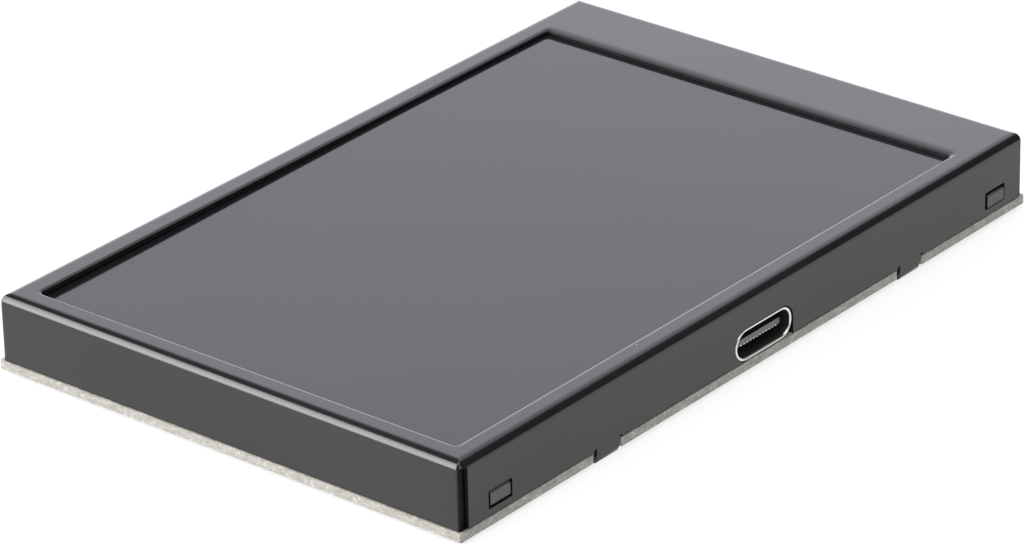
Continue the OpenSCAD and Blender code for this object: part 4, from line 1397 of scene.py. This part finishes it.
def build_frame():
    """The moulded frame, whose lugs show in the latch windows and differ a little at the far end; the lugs'
    outward faces are painted lighter as painted light.
    """
    obj = painted(merged_copy("mid_frame", "mid_frame"), "frame_plastic", "lug_face_painted_light")
    rounded(obj, FRAME_EDGE_R, 2, 40)
    wall = (BEZEL_AREA[1] - BEZEL_AREA[0]) / 2 - SHEET_T
    middle = (BEZEL_AREA[1] + BEZEL_AREA[0]) / 2
    own = settings().frame
    # Outward-facing lug faces get the lighter grey, which is painted light
    for polygon in obj.data.polygons:
        if abs(polygon.center.x - middle) > wall and abs(polygon.normal.x) > 0.7:
            polygon.material_index = 1
    for v in obj.data.vertices:
        out = v.co.x - middle
        if abs(out) > wall - LUG_SLACK and abs(v.co.y - latch_ys()[1]) < LUG_SPAN:
            v.co.z -= own.far_lug_drop
            if abs(out) > wall:
                v.co.x += math.copysign(own.far_lug_reach, out)
    keep(obj, "frame_plastic", "mid_frame")


# ---- Operators, which run from the sidebar or the script ----


UNDOABLE = {"REGISTER", "UNDO"}


class DISPLAY_OT_bezel(bpy.types.Operator):
    """Presses, pierces and folds the steel bezel"""

    bl_idname = "display_module.bezel"
    bl_label = "Bezel"
    bl_options = UNDOABLE

    def execute(self, context):
        build_bezel()
        return {"FINISHED"}


class DISPLAY_OT_screen(bpy.types.Operator):
    """Builds the dark film that shows in the window"""

    bl_idname = "display_module.screen"
    bl_label = "Screen"
    bl_options = UNDOABLE

    def execute(self, context):
        build_screen()
        return {"FINISHED"}


class DISPLAY_OT_board(bpy.types.Operator):
    """Builds the board's laminate, masks, traces and vias"""

    bl_idname = "display_module.board"
    bl_label = "Circuit board"
    bl_options = UNDOABLE

    def execute(self, context):
        build_board()
        return {"FINISHED"}


class DISPLAY_OT_receptacle(bpy.types.Operator):
    """Builds the receptacle's shell, tongue and contacts"""

    bl_idname = "display_module.receptacle"
    bl_label = "Receptacle"
    bl_options = UNDOABLE

    def execute(self, context):
        build_shell()
        build_tongue()
        build_contacts()
        return {"FINISHED"}


class DISPLAY_OT_frame(bpy.types.Operator):
    """Builds the moulded frame with its snap lugs"""

    bl_idname = "display_module.frame"
    bl_label = "Moulded frame"
    bl_options = UNDOABLE

    def execute(self, context):
        build_frame()
        return {"FINISHED"}


def record_slots():
    """The record's slot for each CAD node, by the name of its packed material."""
    slots = {}
    for name, node in frame["nodes"].items():
        materials = node.data.materials
        slots[name] = materials[0].name.split(".")[0] if materials else ""
    return slots


class DISPLAY_OT_inner_parts(bpy.types.Operator):
    """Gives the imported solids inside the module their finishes"""

    bl_idname = "display_module.inner_parts"
    bl_label = "Inner parts"
    bl_options = UNDOABLE

    def execute(self, context):
        for name, slot in record_slots().items():
            node = frame["nodes"][name]
            if node.hide_render:
                continue
            if slot not in BUILDERS:
                raise RuntimeError(f"no finish for {name}: {slot!r}")
            painted(node, slot)
        return {"FINISHED"}


# ---- Stage ----


FLOOR_AREA = (-3, 3, -3, 3)
FLOOR_CORNER_R = 0.5
# Radiance of the dark studio, of the floor's white surroundings and of the backdrop's bright foot
DARK_LEVEL = 0.09
WHITE_LEVEL = 1.02
FOOT_FACTOR = 1.8
COOL_WHITE = (0.965, 0.98, 1.06)
BACKDROP_AZIMUTH = math.radians(-95)
BACKDROP_SKEW = (-0.35, 0, 1)
# Softboxes: azimuth, elevation, distance in metres, size, setting and factor
SOFTBOXES = {
    "left_softbox": (-44, 19, 1.35, (1.05, 0.66), "softbox", 1.0),
    "left_upper_softbox": (-52, 40, 1.4, (0.9, 0.34), "softbox", 0.8),
    "overhead_softbox": (30, 82, 1.6, (1.0, 1.0), "overhead", 1.0),
    "right_fill": (75, 35, 1.4, (0.9, 0.7), "fill", 1.0),
}


def softbox(name, azimuth, elevation, distance, size, radiance):
    """A rectangular light of a given radiance, in a direction from the object in degrees."""
    a, e = math.radians(azimuth), math.radians(elevation)
    direction = Vector((math.sin(a) * math.cos(e), -math.cos(a) * math.cos(e), math.sin(e)))
    data = bpy.data.lights.new(name, "AREA")
    data.shape = "RECTANGLE"
    data.size, data.size_y = size
    data.energy = radiance * size[0] * size[1] * math.pi
    obj = bpy.data.objects.new(name, data)
    bpy.context.scene.collection.objects.link(obj)
    obj.location = direction * distance
    obj.rotation_euler = (-direction).to_track_quat("-Z", "Y").to_euler()
    obj.visible_camera = False


def build_floor():
    """The pale sheet that the module lies on."""
    bm = bmesh.new()
    points = round_rectangle(FLOOR_AREA, FLOOR_CORNER_R, 12)
    bm.faces.new([bm.verts.new((x, y, 0)) for x, y in points])
    obj = mesh_object("studio_floor", bm)
    f = Finish("pale_floor")
    f.put(Roughness=0.9, IOR=1.3, Emission_Strength=0.77)
    f.link(f.ramp(f.noise(3, 3), [(0.3, 0.26), (0.7, 0.29)]), "Base Color")
    f.link(f.ramp(f.noise(2, 2), [(0.3, 0.97), (0.7, 1.0)]), "Emission Color")
    obj.data.materials.append(f.material)


def build_world():
    """Dark studio with a pale backdrop low on the left; the camera sees plain white."""
    world = bpy.data.worlds.new("studio")
    bpy.context.scene.world = world
    world.use_nodes = True
    tree = world.node_tree
    background = tree.nodes["Background"]
    direction = tree.nodes.new("ShaderNodeTexCoord").outputs["Generated"]

    def step(value, low, high):
        node = tree.nodes.new("ShaderNodeMapRange")
        node.interpolation_type = "SMOOTHSTEP"
        node.inputs["From Min"].default_value = low
        node.inputs["From Max"].default_value = high
        tree.links.new(value, node.inputs["Value"])
        return node.outputs["Result"]

    def mixed(factor, a, b):
        node = tree.nodes.new("ShaderNodeMix")
        node.data_type = "RGBA"
        tree.links.new(factor, node.inputs[0])
        for value, socket in ((a, node.inputs[6]), (b, node.inputs[7])):
            if isinstance(value, bpy.types.NodeSocket):
                tree.links.new(value, socket)
            else:
                socket.default_value = (*times(COOL_WHITE, value), 1)
        return node.outputs[2]

    def towards(vector):
        """How far the direction points along a vector."""
        node = tree.nodes.new("ShaderNodeVectorMath")
        node.operation = "DOT_PRODUCT"
        node.inputs[1].default_value = vector
        tree.links.new(direction, node.inputs[0])
        return node.outputs["Value"]

    left = (math.sin(BACKDROP_AZIMUTH), -math.cos(BACKDROP_AZIMUTH), 0)
    low_down = step(towards(BACKDROP_SKEW), 0.98, 0.66)
    foot = step(towards((0, 0, 1)), 0.3, 0.02)
    leftwards = step(towards(left), -0.15, 0.2)
    both = tree.nodes.new("ShaderNodeMath")
    both.operation = "MULTIPLY"
    tree.links.new(low_down, both.inputs[0])
    tree.links.new(leftwards, both.inputs[1])
    backdrop = settings().studio.backdrop
    studio = mixed(both.outputs[0], DARK_LEVEL, mixed(foot, backdrop, FOOT_FACTOR * backdrop))
    path = tree.nodes.new("ShaderNodeLightPath")
    seen = mixed(path.outputs["Is Camera Ray"], studio, WHITE_LEVEL)
    tree.links.new(seen, background.inputs["Color"])


def build_camera():
    """A camera on a sphere about its aim, turned by its roll."""
    s = settings().studio
    data = bpy.data.cameras.new("photo_camera")
    data.sensor_fit = "HORIZONTAL"
    data.sensor_width = 36
    data.lens = s.lens
    data.clip_start = 0.01
    data.clip_end = 50
    camera = bpy.data.objects.new("photo_camera", data)
    bpy.context.scene.collection.objects.link(camera)
    back = Vector((
        math.sin(s.azimuth) * math.cos(s.elevation),
        -math.cos(s.azimuth) * math.cos(s.elevation),
        math.sin(s.elevation),
    ))
    level_right = Vector((math.cos(s.azimuth), math.sin(s.azimuth), 0))
    level_up = back.cross(level_right)
    right = level_right * math.cos(s.roll) + level_up * math.sin(s.roll)
    up = back.cross(right)
    turn = Matrix((right, up, back)).transposed()
    camera.matrix_world = Matrix.Translation(Vector(s.aim) + back * s.distance) @ turn.to_4x4()
    bpy.context.scene.camera = camera


class DISPLAY_OT_stage(bpy.types.Operator):
    """Sets out the pale floor, the soft lights and the camera"""

    bl_idname = "display_module.stage"
    bl_label = "Stage"
    bl_options = UNDOABLE

    def execute(self, context):
        build_floor()
        build_world()
        build_camera()
        for name, (azimuth, elevation, distance, size, setting, factor) in SOFTBOXES.items():
            radiance = factor * getattr(settings().studio, setting)
            softbox(name, azimuth, elevation, distance, size, radiance)
        bpy.context.scene.view_settings.view_transform = "Standard"
        return {"FINISHED"}


class DISPLAY_PT_sidebar(bpy.types.Panel):
    """Lists the display module's settings and pieces"""

    bl_label = "Display Module"
    bl_idname = "DISPLAY_PT_sidebar"
    bl_space_type = "VIEW_3D"
    bl_region_type = "UI"
    bl_category = "Display Module"

    def draw(self, context):
        own = settings()
        for group in (own.bezel, own.screen, own.board, own.port, own.frame, own.finish, own.studio):
            box = self.layout.box()
            for name in group.__annotations__:
                box.prop(group, name)
        for operator in OPERATORS:
            self.layout.operator(operator.bl_idname)


GROUPS = (
    BezelSettings,
    ScreenSettings,
    BoardSettings,
    PortSettings,
    FrameSettings,
    FinishSettings,
    StudioSettings,
    ModuleSettings,
)
OPERATORS = (
    DISPLAY_OT_bezel,
    DISPLAY_OT_screen,
    DISPLAY_OT_board,
    DISPLAY_OT_receptacle,
    DISPLAY_OT_frame,
    DISPLAY_OT_inner_parts,
    DISPLAY_OT_stage,
)


def register():
    """Adds the classes, and the settings to the scene."""
    for cls in GROUPS + OPERATORS + (DISPLAY_PT_sidebar,):
        bpy.utils.register_class(cls)
    bpy.types.Scene.display_module = bpy.props.PointerProperty(type=ModuleSettings)


def unregister():
    del bpy.types.Scene.display_module
    for cls in reversed(GROUPS + OPERATORS + (DISPLAY_PT_sidebar,)):
        bpy.utils.unregister_class(cls)


def main():
    """Builds the whole module."""
    register()
    for operator in OPERATORS:
        name = operator.bl_idname.split(".")[1]
        getattr(bpy.ops.display_module, name)()


if __name__ == "__main__":
    main()
